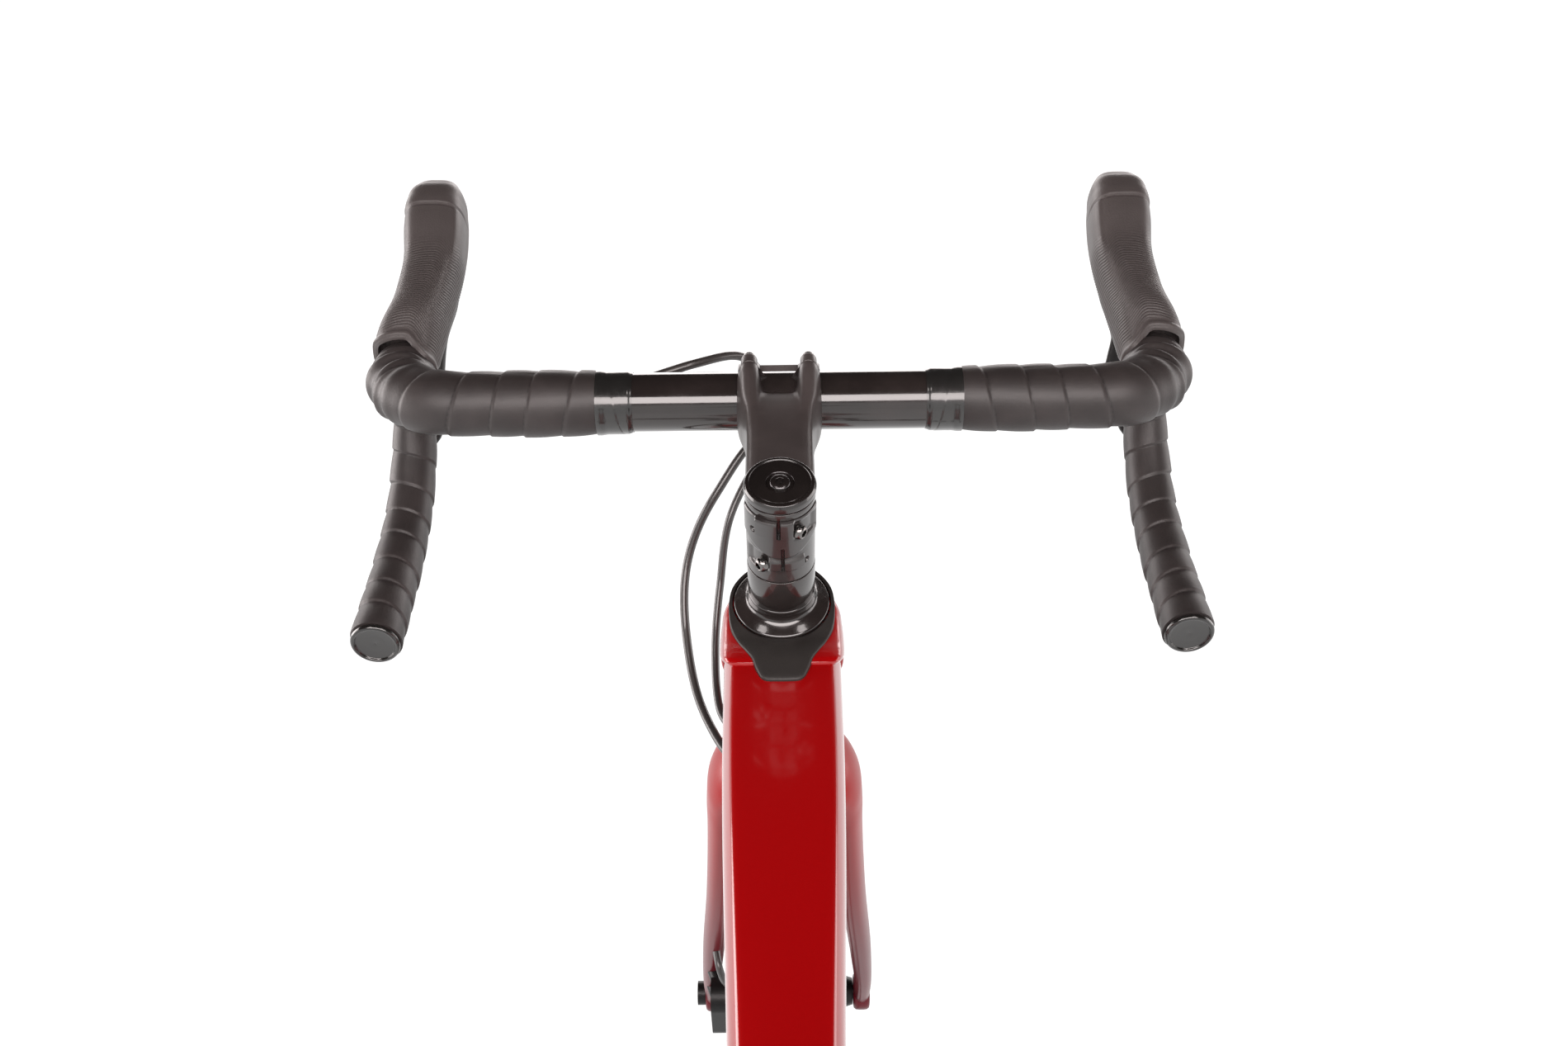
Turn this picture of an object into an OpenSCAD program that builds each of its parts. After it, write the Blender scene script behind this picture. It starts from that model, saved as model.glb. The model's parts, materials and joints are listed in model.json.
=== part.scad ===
// Single-rider drop-bar cyclocross bicycle, disc brakes, one chainring.
// X points to the right (drive side), Y forward, Z up; origin on the ground midway between the axles.

/* [Wheels] */
// Bead seat diameter of the rims
rim_bsd = 622; // [584:1:630]
// Width and height of the inflated tyre
tyre_w = 33; // [28:1:38]
// Outer width of the rim
rim_w = 24; // [20:1:27]
// Radial depth of the rim
rim_depth = 30; // [22:1:45]
// Spoke diameter
spoke_d = 1.8; // [1.5:0.1:2.3]
// Spokes on each side of a wheel
spokes_side = 12; // [8:2:18]
// Diameter of the through axles
axle_d = 12; // [10:1:15]
// Width of the front hub between the fork ends
front_old = 100; // [98:1:110]
// Width of the rear hub between the frame ends
rear_old = 142; // [140:1:148]
// Diameter of the brake rotors
rotor_d = 160; // [150:2:162]
// Thickness of the brake rotors
rotor_t = 1.8; // [1.6:0.1:2.1]

/* [Frame] */
// Height of the head tube top above the crank axle
stack = 541; // [520:1:570]
// Distance of the head tube top ahead of the crank axle
reach = 380; // [370:1:400]
// Angle of the steering axis to the ground
head_angle = 72; // [70:0.5:73.5]
// Angle of the seat tube to the ground
seat_angle = 74; // [73:0.5:75]
// Height of the wheel axles above the crank axle
bb_drop = 68; // [60:1:74]
// Distance from the crank axle to the rear axle
chainstay = 425; // [420:1:440]
// Offset of the front axle ahead of the steering axis
rake = 47; // [43:1:52]
// Length of the head tube
head_len = 118; // [105:1:135]
// Length of the seat tube from the crank axle to its top
seat_tube_len = 515; // [495:1:540]
// Diameter of the seatpost
post_d = 27.2; // [25.4:0.2:31.6]
// Width of the crank axle shell
bb_shell_w = 86.5; // [83:0.5:92]

/* [Cockpit] */
// Diameter of the fork steerer where the stem clamps it
steerer_d = 28.6; // [27.4:0.2:30]
// Diameter of the handlebar in the stem clamp
bar_d = 31.8; // [30:0.2:33]
// Length of the stem between steerer and handlebar
stem_len = 101; // [90:1:115]
// Height of the spacer under the stem
spacer_h = 22; // [10:1:30]
// Thickness of the handlebar tape
tape_t = 2.2; // [1.5:0.1:3]
// Number of tape turns on each side
tape_turns = 18; // [12:1:22]
// Outside diameter of the brake hoses
hose_d = 5; // [4:0.5:5.5]

/* [Drivetrain] */
// Teeth on the chainring
ring_teeth = 40; // [36:2:44]
// Length of a crank arm
crank_len = 172.5; // [165:2.5:177.5]
// Diameter of the crank axle
crank_axle_d = 24; // [22:1:28]
// Pitch of the chain
pitch = 12.7; // [12.6:0.1:12.8]
// Diameter of the chain rollers
roller_d = 7.7; // [7.2:0.1:7.9]
// Spacing of the sprockets
cog_pitch = 3.95; // [3.7:0.05:4.2]
// Teeth on each derailleur pulley
pulley_teeth = 11; // [10:1:13]

/* [Saddle] */
// Height of the saddle top above the crank axle, along the seat tube
saddle_height = 692; // [670:1:720]
// Length of the saddle
saddle_len = 272; // [255:1:285]
// Width of the saddle
saddle_w = 142; // [130:1:155]

/* [Hidden] */
$fa = 6;
$fs = 0.6;

// Fits: running clearance of turning shafts, clearance of seated parts, gap between bodies
run = 0.05;
seat = 0.05;
gap = 0.3;
eps = 0.01;

// Wheel sizes that follow from the tyre and rim
wheel_r = rim_bsd / 2 + tyre_w;
rim_lip_r = rim_bsd / 2 + 5;
rim_in_r = rim_bsd / 2 + 5 - rim_depth;
axle_r = axle_d / 2;
hub_bore = axle_r + run;

// Key points of the frame in the YZ plane
axle_z = wheel_r;
bb_z = axle_z - bb_drop;
bb_back = sqrt(chainstay * chainstay - bb_drop * bb_drop);
head_rise = stack - bb_drop;
axle_ahead = head_rise / tan(head_angle) + rake / sin(head_angle);
wheelbase = bb_back + reach + axle_ahead;
rear_y = -wheelbase / 2;
front_y = wheelbase / 2;
bb_y = rear_y + bb_back;
head_y = bb_y + reach;
head_z = bb_z + stack;
lean = 90 - head_angle;
axle_down = head_rise / sin(head_angle) + rake / tan(head_angle);

// Heights along the steerer, measured up from the head tube top
cover_h = 14;
stem_z0 = cover_h + spacer_h;
stem_h = 45;
stem_z1 = stem_z0 + stem_h;
cap_z0 = stem_z1 + 4;
cap_h = 6;
steerer_r = steerer_d / 2;
stem_bore = steerer_r + seat;
bar_r = bar_d / 2;
stem_drop = 7;
bar_ly = stem_len * cos(stem_drop);
bar_lz = stem_z0 + 28.5 - stem_len * sin(stem_drop);
bar_y = head_y + bar_ly * cos(lean) - bar_lz * sin(lean);
bar_z = head_z + bar_ly * sin(lean) + bar_lz * cos(lean);

// Frame tube radii
head_r_top = 27.5;
head_r_mid = 24;
head_r_low = 29.5;
upper_seat_r = 20.9;
lower_seat_r = 25.9;
bearing_h = 9;
race_r = 19.8;
post_r = post_d / 2;
post_bore = post_r + run;
seat_tube_r = post_r + 3.9;
bb_shell_r = 24;
bb_seat_r = 20.5;
crank_r = crank_axle_d / 2;

// Sprockets, outermost first, with the one in use
cogs = [11, 12, 13, 14, 16, 18, 20, 22, 25, 28, 32];
used_cog = 4;
cog_t = 1.6;
ring_t = 1.8;
cassette_out = rear_old / 2 - 6;
function cog_x(i) = cassette_out - i * cog_pitch;
chain_x = cog_x(used_cog);
function pitch_r(n) = pitch / 2 / sin(180 / n);
roller_r = roller_d / 2;

function unit(v) = v / norm(v);
function seat_point(l) = [0, bb_y - l * cos(seat_angle), bb_z + l * sin(seat_angle)];
function steer_point(y, z) = [0, head_y + y * cos(lean) - z * sin(lean),
  head_z + y * sin(lean) + z * cos(lean)];
function mirror_x(pts) = [for (p = pts) [-p.x, p.y, p.z]];

// Flattened oval in the plane of u and v
function oval(c, u, v, a, b, e, n) = [for (i = [0:n - 1])
  let (t = 360 * (i + 0.5) / n, x = cos(t), y = sin(t))
  c + u * a * sign(x) * pow(abs(x), 2 / e) + v * b * sign(y) * pow(abs(y), 2 / e)];
// Points of a smooth line through hand-placed points
function bend(a, b, c, d, t) = 0.5 * (2 * b + (c - a) * t + (2 * a - 5 * b + 4 * c - d) * t * t
  + (3 * b - a - 3 * c + d) * t * t * t);
function smooth(p, k) = let (m = len(p) - 1) [for (i = [0:m - 1]) for (j = [0:k - 1])
  bend(p[max(i - 1, 0)], p[i], p[i + 1], p[min(i + 2, m)], j / k), p[m]];
// Frames along a line that turn as little as possible
function tangents(p) = let (m = len(p) - 1) [for (i = [0:m]) unit(p[min(i + 1, m)] - p[max(i - 1, 0)])];
function across(u, t) = unit(u - (u * t) * t);
function walk(t, i, u) = i == len(t) ? [] : let (w = across(u, t[i])) concat([w], walk(t, i + 1, w));
function tube_rings(p, r, n, up) = let (t = tangents(p), us = walk(t, 0, up))
  [for (i = [0:len(p) - 1]) let (w = cross(t[i], us[i]))
    [for (j = [0:n - 1]) p[i] + (us[i] * cos(360 * j / n) + w * sin(360 * j / n)) * r[i]]];
function ring_pair(a, b, n) = [for (i = [0:n - 1]) let (k = (i + 1) % n)
  each [[a + i, b + i, b + k], [a + i, b + k, a + k]]];

// Solid through a row of rings
module skin(rings) {
  n = len(rings[0]);
  m = len(rings);
  sides = [for (k = [0:m - 2]) each ring_pair(k * n, (k + 1) * n, n)];
  low = [for (i = [0:n - 1]) i];
  high = [for (i = [n - 1:-1:0]) (m - 1) * n + i];
  polyhedron([for (r = rings) each r], concat([low], sides, [high]), convexity = 8);
}
// Sleeve between an outer and an inner row of rings with the same ends
module sleeve(outer, inner) {
  n = len(outer[0]);
  back = [for (i = [len(inner) - 1:-1:0]) inner[i]];
  all = concat(outer, back);
  m = len(all);
  faces = [for (k = [0:m - 1]) each ring_pair(k * n, ((k + 1) % m) * n, n)];
  polyhedron([for (r = all) each r], faces, convexity = 8);
}
module rod(p, q, r) {
  v = q - p;
  l = norm(v);
  translate(p) rotate([0, acos(v.z / l), atan2(v.y, v.x)]) cylinder(r = r, h = l);
}
// Drawing plane seen from the right: first axis forward, second up, third to the right
module side(x, y, z) {
  translate([x, y, z]) rotate([90, 0, 90]) children();
}
module steer() {
  translate([0, head_y, head_z]) rotate([lean, 0, 0]) children();
}
module both() {
  children();
  mirror([1, 0, 0]) children();
}
// Plate outline with a large and a small round end
module taper_arm(l, r0, r1) {
  k = asin((r0 - r1) / l);
  circle(r = r0);
  translate([l, 0]) circle(r = r1);
  polygon([[r0 * sin(k), r0 * cos(k)], [r0 * sin(k), -r0 * cos(k)],
    [l + r1 * sin(k), -r1 * cos(k)], [l + r1 * sin(k), r1 * cos(k)]]);
}

// Wheel parts, drawn about the third axis
module tyre_body() {
  c = rim_bsd / 2 + tyre_w / 2;
  wall = 2.4;
  rotate_extrude() difference() {
    translate([c, 0]) circle(r = tyre_w / 2);
    translate([c, 0]) circle(r = tyre_w / 2 - wall);
    translate([0, -tyre_w]) square([rim_lip_r, 2 * tyre_w]);
  }
}
module rim_body() {
  h = rim_w / 2;
  lip = 1.8;
  rotate_extrude() polygon([[rim_lip_r, -h], [rim_lip_r, lip - h], [rim_bsd / 2, lip - h],
    [rim_bsd / 2, h - lip], [rim_lip_r, h - lip], [rim_lip_r, h],
    [rim_lip_r - rim_depth * 0.35, h * 1.02], [rim_in_r + rim_depth * 0.18, h * 0.72], [rim_in_r, h * 0.3],
    [rim_in_r, -h * 0.3], [rim_in_r + rim_depth * 0.18, -h * 0.72],
      [rim_lip_r - rim_depth * 0.35, -h * 1.02]]);
}
spoke_turn = 56;
flange_t = 3;
module spoke_set(fl, fr, flange_r) {
  step = 360 / spokes_side;
  off = flange_t / 2 + spoke_d / 2 + 0.1;
  for (s = [0, 1]) for (j = [0:spokes_side - 1]) {
    lead = j % 2 == 0 ? 1 : -1;
    b = step * (j + s / 2);
    a = b + lead * spoke_turn;
    f = s == 0 ? fl : fr;
    rod([flange_r * cos(a), flange_r * sin(a), f + lead * off],
      [(rim_in_r + 2) * cos(b), (rim_in_r + 2) * sin(b), s == 0 ? -2.5 : 2.5], spoke_d / 2);
  }
}
rotor_band = 15;
rotor_hub_r = 17;
module rotor_body() {
  arms = 6;
  holes = 24;
  linear_extrude(rotor_t, center = true) difference() {
    union() {
      difference() {
        circle(d = rotor_d);
        circle(r = rotor_d / 2 - rotor_band);
      }
      circle(r = rotor_hub_r + 6);
      for (i = [0:arms - 1]) rotate(i * 360 / arms) translate([14, -13.5]) rotate(9)
        square([rotor_d / 2 - 23, 7]);
    }
    circle(r = rotor_hub_r + seat);
    for (i = [0:holes - 1]) {
      rotate(i * 360 / holes) translate([rotor_d / 2 - 4.5, 0]) circle(r = 1.9);
      rotate((i + 0.5) * 360 / holes) translate([rotor_d / 2 - 10, 0]) circle(r = 2.3);
    }
  }
}
front_rotor_x = -(front_old / 2 - 10.5);
rear_rotor_x = -(rear_old / 2 - 19);
front_fl = front_rotor_x + 15;
front_fr = front_old / 2 - 17;
rear_fl = rear_rotor_x + 17;
rear_fr = cog_x(10) - 8;
flange_r = 23;
spoke_r = 20;
hub_end = 0.4;
module hub_body(old, fl, fr, rotor_x, right_end) {
  l = old / 2 - hub_end;
  f = flange_t / 2;
  rotate_extrude() polygon([[hub_bore, -l], [10, -l], [10, rotor_x - 3], [rotor_hub_r, rotor_x - 3],
    [rotor_hub_r, rotor_x + 2], [rotor_hub_r - 3, rotor_x + 6], [rotor_hub_r - 3, fl - f - 2],
      [flange_r, fl - f],
    [flange_r, fl + f], [15, fl + f + 3], [13, fl + 12], [13, fr - 12], [15, fr - f - 3],
    [flange_r, fr - f], [flange_r, fr + f], [14, fr + f + 2], [10, right_end], [hub_bore, right_end]]);
}

// Toothed plate whose gaps sit at the angle a
module teeth(n, a, hole) {
  pr = pitch_r(n);
  root = pr - roller_r - 0.25;
  tip = pr + 3;
  wide = asin((pitch / 2 - roller_r + 0.55) / root);
  thin = asin(0.9 / tip);
  difference() {
    polygon([for (i = [0:n - 1]) let (c = a + (i + 0.5) * 360 / n)
      each [[root * cos(c - wide), root * sin(c - wide)], [tip * cos(c - thin), tip * sin(c - thin)],
        [tip * cos(c + thin), tip * sin(c + thin)], [root * cos(c + wide), root * sin(c + wide)]]]);
    circle(r = hole);
  }
}

// Chain line in the YZ plane: chainring, tension pulley, guide pulley, sprocket; turn -1 is clockwise
guide_c = [rear_y + 12, axle_z - 100];
cage_len = 75;
function tension_c(a) = guide_c + cage_len * [cos(a), sin(a)];
turn = [-1, -1, 1, -1];
n_teeth = [ring_teeth, pulley_teeth, pulley_teeth, cogs[used_cog]];
function centres(a) = [[bb_y, bb_z], tension_c(a), guide_c, [rear_y, axle_z]];
function line_k(i) = let (j = (i + 1) % 4) turn[j] * pitch_r(n_teeth[j]) - turn[i] * pitch_r(n_teeth[i]);
function line_l(c, i) = let (d = c[(i + 1) % 4] - c[i]) sqrt(d * d - line_k(i) * line_k(i));
function line_a(c, i) = let (d = c[(i + 1) % 4] - c[i]) atan2(d.y, d.x) - atan2(line_k(i), line_l(c, i));
function wrap(x) = x - 360 * floor(x / 360);
function arc_a(c, i) = wrap(turn[i] * (line_a(c, i) - line_a(c, (i + 3) % 4)));
function arc_n(c, i) = arc_a(c, i) * n_teeth[i] / 360;
function run_n(c, i) = line_l(c, i) / pitch;
function chain_n(a) = let (c = centres(a)) arc_n(c, 0) + run_n(c, 0) + arc_n(c, 1) + run_n(c, 1)
  + arc_n(c, 2) + run_n(c, 2) + arc_n(c, 3) + run_n(c, 3);
function close_cage(lo, hi, want, k) = k == 0 ? (lo + hi) / 2 : let (m = (lo + hi) / 2)
  chain_n(m) > want ? close_cage(m, hi, want, k - 1) : close_cage(lo, m, want, k - 1);
cage_lo = -125;
cage_hi = -10;
chain_links = 2 * round(chain_n(-62) / 2);
cage_a = close_cage(cage_lo, cage_hi, chain_links, 30);
cc = centres(cage_a);
// Angle on a sprocket where the chain comes in, and link counts at each piece of the line
function in_angle(i) = line_a(cc, (i + 3) % 4) - turn[i] * 90;
s_arc0 = 0;
s_run0 = s_arc0 + arc_n(cc, 0);
s_arc1 = s_run0 + run_n(cc, 0);
s_run1 = s_arc1 + arc_n(cc, 1);
s_arc2 = s_run1 + run_n(cc, 1);
s_run2 = s_arc2 + arc_n(cc, 2);
s_arc3 = s_run2 + run_n(cc, 2);
s_run3 = s_arc3 + arc_n(cc, 3);
s_arc = [s_arc0, s_arc1, s_arc2, s_arc3];
s_run = [s_run0, s_run1, s_run2, s_run3];
function on_arc(i, s) = let (a = in_angle(i) + turn[i] * (s - s_arc[i]) * 360 / n_teeth[i])
  cc[i] + pitch_r(n_teeth[i]) * [cos(a), sin(a)];
function on_run(i, s) = let (a = line_a(cc, i))
  cc[i] + turn[i] * pitch_r(n_teeth[i]) * [sin(a), -cos(a)] + (s - s_run[i]) * pitch * [cos(a), sin(a)];
function chain_at(s) = s < s_run0 ? on_arc(0, s) : s < s_arc1 ? on_run(0, s) : s < s_run1 ? on_arc(1, s)
  : s < s_arc2 ? on_run(1, s) : s < s_run2 ? on_arc(2, s) : s < s_arc3 ? on_run(2, s)
  : s < s_run3 ? on_arc(3, s) : on_run(3, s);
function phase(i) = in_angle(i) + turn[i] * (ceil(s_arc[i]) - s_arc[i]) * 360 / n_teeth[i];

// Main tubes: points on the centre line and half sizes
tt_a = steer_point(0, -24);
tt_b = seat_point(seat_tube_len - 45);
dt_a = steer_point(0, -82);
dt_b = [0, bb_y, bb_z];
module tube(a, b, rows, n) {
  t = unit(b - a);
  v = cross(t, [1, 0, 0]);
  skin([for (r = rows) oval(a + (b - a) * r[0], [1, 0, 0], v, r[1], r[2], r[3], n)]);
}
module head_outline() {
  rotate_extrude() polygon([[0, 0], [head_r_top, 0], [head_r_top, -14], [head_r_mid + 1, -32],
    [head_r_mid, -head_len / 2],
    [head_r_mid + 2, -head_len + 26], [head_r_low, -head_len + 12], [head_r_low, -head_len],
      [0, -head_len]]);
}
cowl_back = 48;
module cowl_shape() {
  a = steer_point(0, -24);
  t = unit(tt_b - tt_a);
  v = cross(t, [1, 0, 0]);
  skin([for (r = [[-8, 30, 20], [14, 32, 21.5], [cowl_back - 6, 31.5, 23], [cowl_back, 30.8, 22.4]])
    oval(a + t * r[0], [1, 0, 0], v, r[1], r[2], 3.4, 20)]);
}
module head_tube() {
  color("crimson") difference() {
    union() {
      steer() head_outline();
      intersection() {
        cowl_shape();
        steer() translate([0, 0, -60]) cylinder(r = 90, h = 60 - eps);
      }
    }
    steer() {
      translate([0, 0, -head_len - 1]) cylinder(r = race_r + 1, h = head_len + 2);
      translate([0, 0, -bearing_h]) cylinder(r = upper_seat_r + seat, h = bearing_h + 30);
      translate([0, 0, -head_len - 1]) cylinder(r = lower_seat_r + seat, h = bearing_h + 1);
    }
  }
}
module top_shape() {
  tube(tt_a, tt_b, [[0.02, 30, 20.5, 3.4], [0.12, 29.6, 20.5, 3.4], [0.5, 24, 18.5, 3],
    [0.86, 19, 17, 2.6], [1, 18, 17, 2.4]], 20);
}
module top_tube() {
  color("crimson") difference() {
    top_shape();
    steer() head_outline();
    cowl_shape();
    seat_cut();
  }
}
module seat_cut() {
  rod(seat_point(0), seat_point(seat_tube_len + 20), seat_tube_r);
}
boss_d = 5;
boss_gap = 64;
boss_depth = 14;
function along_dt(l) = dt_b + unit(dt_a - dt_b) * l;
dt_up = cross([1, 0, 0], unit(dt_b - dt_a));
dt_half = 26;
boss_dt = [250, 250 + boss_gap];
boss_st = [190, 190 + boss_gap];
module down_tube() {
  up = -dt_up;
  color("crimson") difference() {
    tube(dt_a, dt_b, [[0.02, 25, 27, 2.6], [0.2, 25, dt_half, 2.6], [0.6, 26, dt_half, 2.6],
      [0.9, 29, 24, 2.6], [0.99, 30, 22, 2.6]], 20);
    steer() head_outline();
    steer() translate([0, 0, -head_len - 30]) cylinder(r = 42, h = 30);
    side(-100, bb_y, bb_z) cylinder(r = bb_shell_r, h = 200);
    seat_cut();
    for (l = boss_dt) rod(along_dt(l) + up * (dt_half - boss_depth), along_dt(l) + up * (dt_half + 20),
      boss_d / 2);
  }
}
st_dir = unit(seat_point(1) - seat_point(0));
st_fwd = [0, st_dir.z, -st_dir.y];
module seat_tube() {
  color("crimson") difference() {
    union() {
      rod(seat_point(0), seat_point(seat_tube_len), seat_tube_r);
      side(-bb_shell_w / 2, bb_y, bb_z) cylinder(r = bb_shell_r, h = bb_shell_w);
    }
    rod(seat_point(70), seat_point(seat_tube_len + 1), post_bore);
    side(-bb_shell_w / 2 - 1, bb_y, bb_z) cylinder(r = bb_seat_r + seat, h = bb_shell_w + 2);
    for (l = boss_st) rod(seat_point(l) + st_fwd * (post_bore - 2),
      seat_point(l) + st_fwd * (seat_tube_r + 5), boss_d / 2);
  }
}
drop_t = 8;
drop_r = 16;
drop_in = rear_old / 2;
module stay_loft(p, u, v, a, b) {
  skin([for (i = [0:len(p) - 1]) oval(p[i], u, v, a[i], b[i], 2.4, 14)]);
}
cs_p = [[25, bb_y - 8, bb_z - 4], [30, bb_y - 60, bb_z + 3], [33, bb_y - 130, bb_z + 15],
  [48, bb_y - 260, bb_z + 37], [drop_in - 2, rear_y + 62, axle_z - 12],
    [drop_in + 3.6, rear_y + 10, axle_z - 2]];
module chainstay_shape() {
  stay_loft(cs_p, [1, 0, 0], [0, 0, 1], [11, 9, 9, 8.5, 6, 4.2], [16, 16, 14, 12, 11, 11]);
}
module chainstays() {
  color("crimson") both() difference() {
    union() {
      chainstay_shape();
      side(drop_in, rear_y, axle_z) cylinder(r = drop_r, h = drop_t);
    }
    side(drop_in - 20, rear_y, axle_z) cylinder(r = axle_r + seat, h = drop_t + 40);
    side(drop_in - 20, rear_y, axle_z) cylinder(r = 2 * drop_r, h = 20);
    side(-100, bb_y, bb_z) cylinder(r = bb_shell_r, h = 200);
    seat_cut();
  }
}
ss_p = [concat([8], [seat_point(seat_tube_len - 72).y - 4, seat_point(seat_tube_len - 72).z]),
  [22, rear_y + 250, axle_z + 314], [29, rear_y + 188, axle_z + 246], [50, rear_y + 90, axle_z + 124],
  [drop_in + 1, rear_y + 24, axle_z + 32], [drop_in + 3.8, rear_y + 6, axle_z + 8]];
module seatstays() {
  color("crimson") both() difference() {
    stay_loft(ss_p, [1, 0, 0], [0, -1, 0], [8, 6, 5.5, 5.5, 5, 4.2], [12, 10, 9, 9, 9, 9]);
    side(drop_in - 20, rear_y, axle_z) cylinder(r = drop_r, h = 60);
    chainstay_shape();
    seat_cut();
    translate([-50 - eps, -600, 0]) cube([50, 1000, 1000]);
  }
}
hang_c = [rear_y - 7, axle_z - 31];
hang_t = 6;
module derailleur_hanger() {
  x = drop_in + 1;
  color("black") side(x, rear_y, axle_z) difference() {
    linear_extrude(hang_t) difference() {
      union() {
        translate([hang_c[0] - rear_y, hang_c[1] - axle_z]) circle(r = 9);
        rotate(atan2(hang_c[1] - axle_z, hang_c[0] - rear_y)) translate([drop_r - 4, -7]) square([16, 14]);
      }
      circle(r = drop_r + seat);
      translate([hang_c[0] - rear_y, hang_c[1] - axle_z]) circle(r = 5 + seat);
    }
  }
}
clamp_h = 14;
module seat_clamp() {
  color("black") difference() {
    union() {
      rod(seat_point(seat_tube_len - clamp_h), seat_point(seat_tube_len - 1), seat_tube_r + 3.2);
      translate(seat_point(seat_tube_len - clamp_h / 2) - st_fwd * (seat_tube_r + 4))
        rotate([90 - seat_angle, 0, 0]) cube([16, 8, clamp_h - 2], center = true);
    }
    rod(seat_point(seat_tube_len - clamp_h - 10), seat_point(seat_tube_len + 10), seat_tube_r + seat);
    translate(seat_point(seat_tube_len - clamp_h / 2) - st_fwd * (seat_tube_r + 6))
      rotate([90 - seat_angle, 0, 0]) cube([1.6, 16, clamp_h + 20], center = true);
  }
}
module bearing_ring(ro, ri, z0, h) {
  translate([0, 0, z0]) difference() {
    cylinder(r = ro, h = h);
    translate([0, 0, -1]) cylinder(r = ri, h = h + 2);
  }
}
module headset_bearings() {
  color("silver") steer() {
    bearing_ring(upper_seat_r, steerer_r + run, -bearing_h + seat, bearing_h - 2 * seat);
    bearing_ring(lower_seat_r, race_r + run, -head_len + seat, bearing_h - 2 * seat);
  }
}
module crank_bearings() {
  w = 16;
  color("dimgray") side(0, bb_y, bb_z) {
    bearing_ring(bb_seat_r, crank_r + run, bb_shell_w / 2 - w, w);
    bearing_ring(bb_seat_r, crank_r + run, -bb_shell_w / 2, w);
  }
}
cover_r = 25;
boot_r = cover_r + 2.4;
boot_back = 64;
module headset_boot() {
  t = unit(tt_b - tt_a);
  v = cross([1, 0, 0], t);
  up = v.z > 0 ? v : -v;
  color("dimgray") difference() {
    union() {
      steer() cylinder(r = boot_r, h = 4.5);
      skin([for (r = [[16, 24.5, 25.6], [30, 20, 25.6], [46, 17, 25.2], [60, 14.5, 23.4],
        [boot_back, 11, 22.6]])
        oval(tt_a + t * r[0] + up * (r[2] - 8), [1, 0, 0], cross(t, [1, 0, 0]), r[1], 8, 3, 16)]);
    }
    steer() translate([0, 0, -1]) cylinder(r = cover_r + gap, h = 40);
    steer() head_outline();
    cowl_shape();
    top_shape();
  }
}
// Brake caliper block, its length along the second axis
cal_w = 30;
cal_l = 54;
cal_h = 26;
pad_gap = 0.4;
module caliper_block() {
  cube([cal_w, cal_l - cal_h, cal_h], center = true);
  for (s = [-1, 1]) translate([-cal_w / 2, s * (cal_l - cal_h) / 2, 0]) rotate([0, 90, 0])
    cylinder(d = cal_h, h = cal_w);
}
module rotor_slot(x, y) {
  w = rotor_t + 2 * pad_gap;
  side(x - w / 2, y, axle_z) cylinder(r = rotor_d / 2 + 1.5, h = w);
}
rc_c = [rear_rotor_x, rear_y + 66, axle_z + 30];
module rear_caliper() {
  color("black") difference() {
    union() {
      translate(rc_c) rotate([-8, 0, 0]) caliper_block();
      for (d = [-12, 16]) rod(rc_c + [-9, d, -4], [4 - drop_in, rc_c.y + d, axle_z - 8], 5);
    }
    mirror([1, 0, 0]) chainstay_shape();
    rotor_slot(rear_rotor_x, rear_y);
  }
}
module rear_axle() {
  cap_r = 10;
  color("black") side(0, rear_y, axle_z) {
    translate([0, 0, -drop_in - drop_t - 6]) cylinder(r = axle_r, h = 2 * drop_in + 2 * drop_t + 7);
    translate([0, 0, -drop_in - drop_t - 7]) cylinder(r = 9, h = 7);
    translate([0, 0, cassette_out + cog_t / 2 + 1.6]) cylinder(r = cap_r,
      h = drop_in - cassette_out - cog_t / 2 - 1.6);
  }
}
// Cables and hoses: hand-placed points, from the bar centre and from the head tube top
hose_r = hose_d / 2;
module line(pts, r) {
  p = smooth(pts, 3);
  skin(tube_rings(p, [for (q = p) r], 8, [0.3, 0.2, 1]));
}
function from_head(pts) = [for (p = pts) p + [0, head_y, head_z]];
function from_bar(pts) = [for (p = pts) p + [0, bar_y, bar_z]];
rear_hose_pts = concat(from_bar([[79, 13.8, -11.6], [58, 22.8, -14.6], [24, 40.8, -24.6],
  [-12, 36.8, -38.6]]),
  from_head([[-36, 102, 14], [-50, 95, -12], [-56, 84, -36], [-55, 66, -62], [-48, 38, -84],
    [-34, 8, -96], [-23, -4, -97]]));
housing_pts = concat(from_bar([[79, 18.2, -5], [56, 27, -10], [22, 40, -17], [-6, 27, -40]]),
  from_head([[-28, 86, 8], [-35, 72, -30], [-38, 50, -60], [-35, 20, -80], [-23, 0, -84]]));
front_hose_pts = concat(from_bar([[-79, 15.8, 8.4], [-46, 26.8, 11.4], [-22, 44.8, 7.4],
  [-9, 54.8, -10.6], [-2, 54.8, -40.6]]),
  from_head([[4, 120, -20], [4, 102, -70], [-10, 86, -106], [-25, 65, -122]]));
rear_tail_pts = [[-56, rear_y + 93.4, axle_z + 26], [-56.5, rear_y + 112, axle_z + 22],
  [-56, rear_y + 130, axle_z + 8],
  [-54, rear_y + 140, axle_z - 14.6]];
shift_tail_pts = [[73, rear_y + 32, axle_z - 18], [79, rear_y + 22, axle_z - 23],
  [90, rear_y - 1, axle_z - 15],
  [93, rear_y - 26, axle_z - 20], [92, rear_y - 36, axle_z - 42], [90, rear_y - 30, axle_z - 60],
    [88.5, rear_y - 18, axle_z - 65]];
front_tail_pts = [[-50, front_y - 71, axle_z + 113], [-47, front_y - 82, axle_z + 104],
  [-44, front_y - 82, axle_z + 92],
  [-41, front_y - 72.4, axle_z + 78]];
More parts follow.
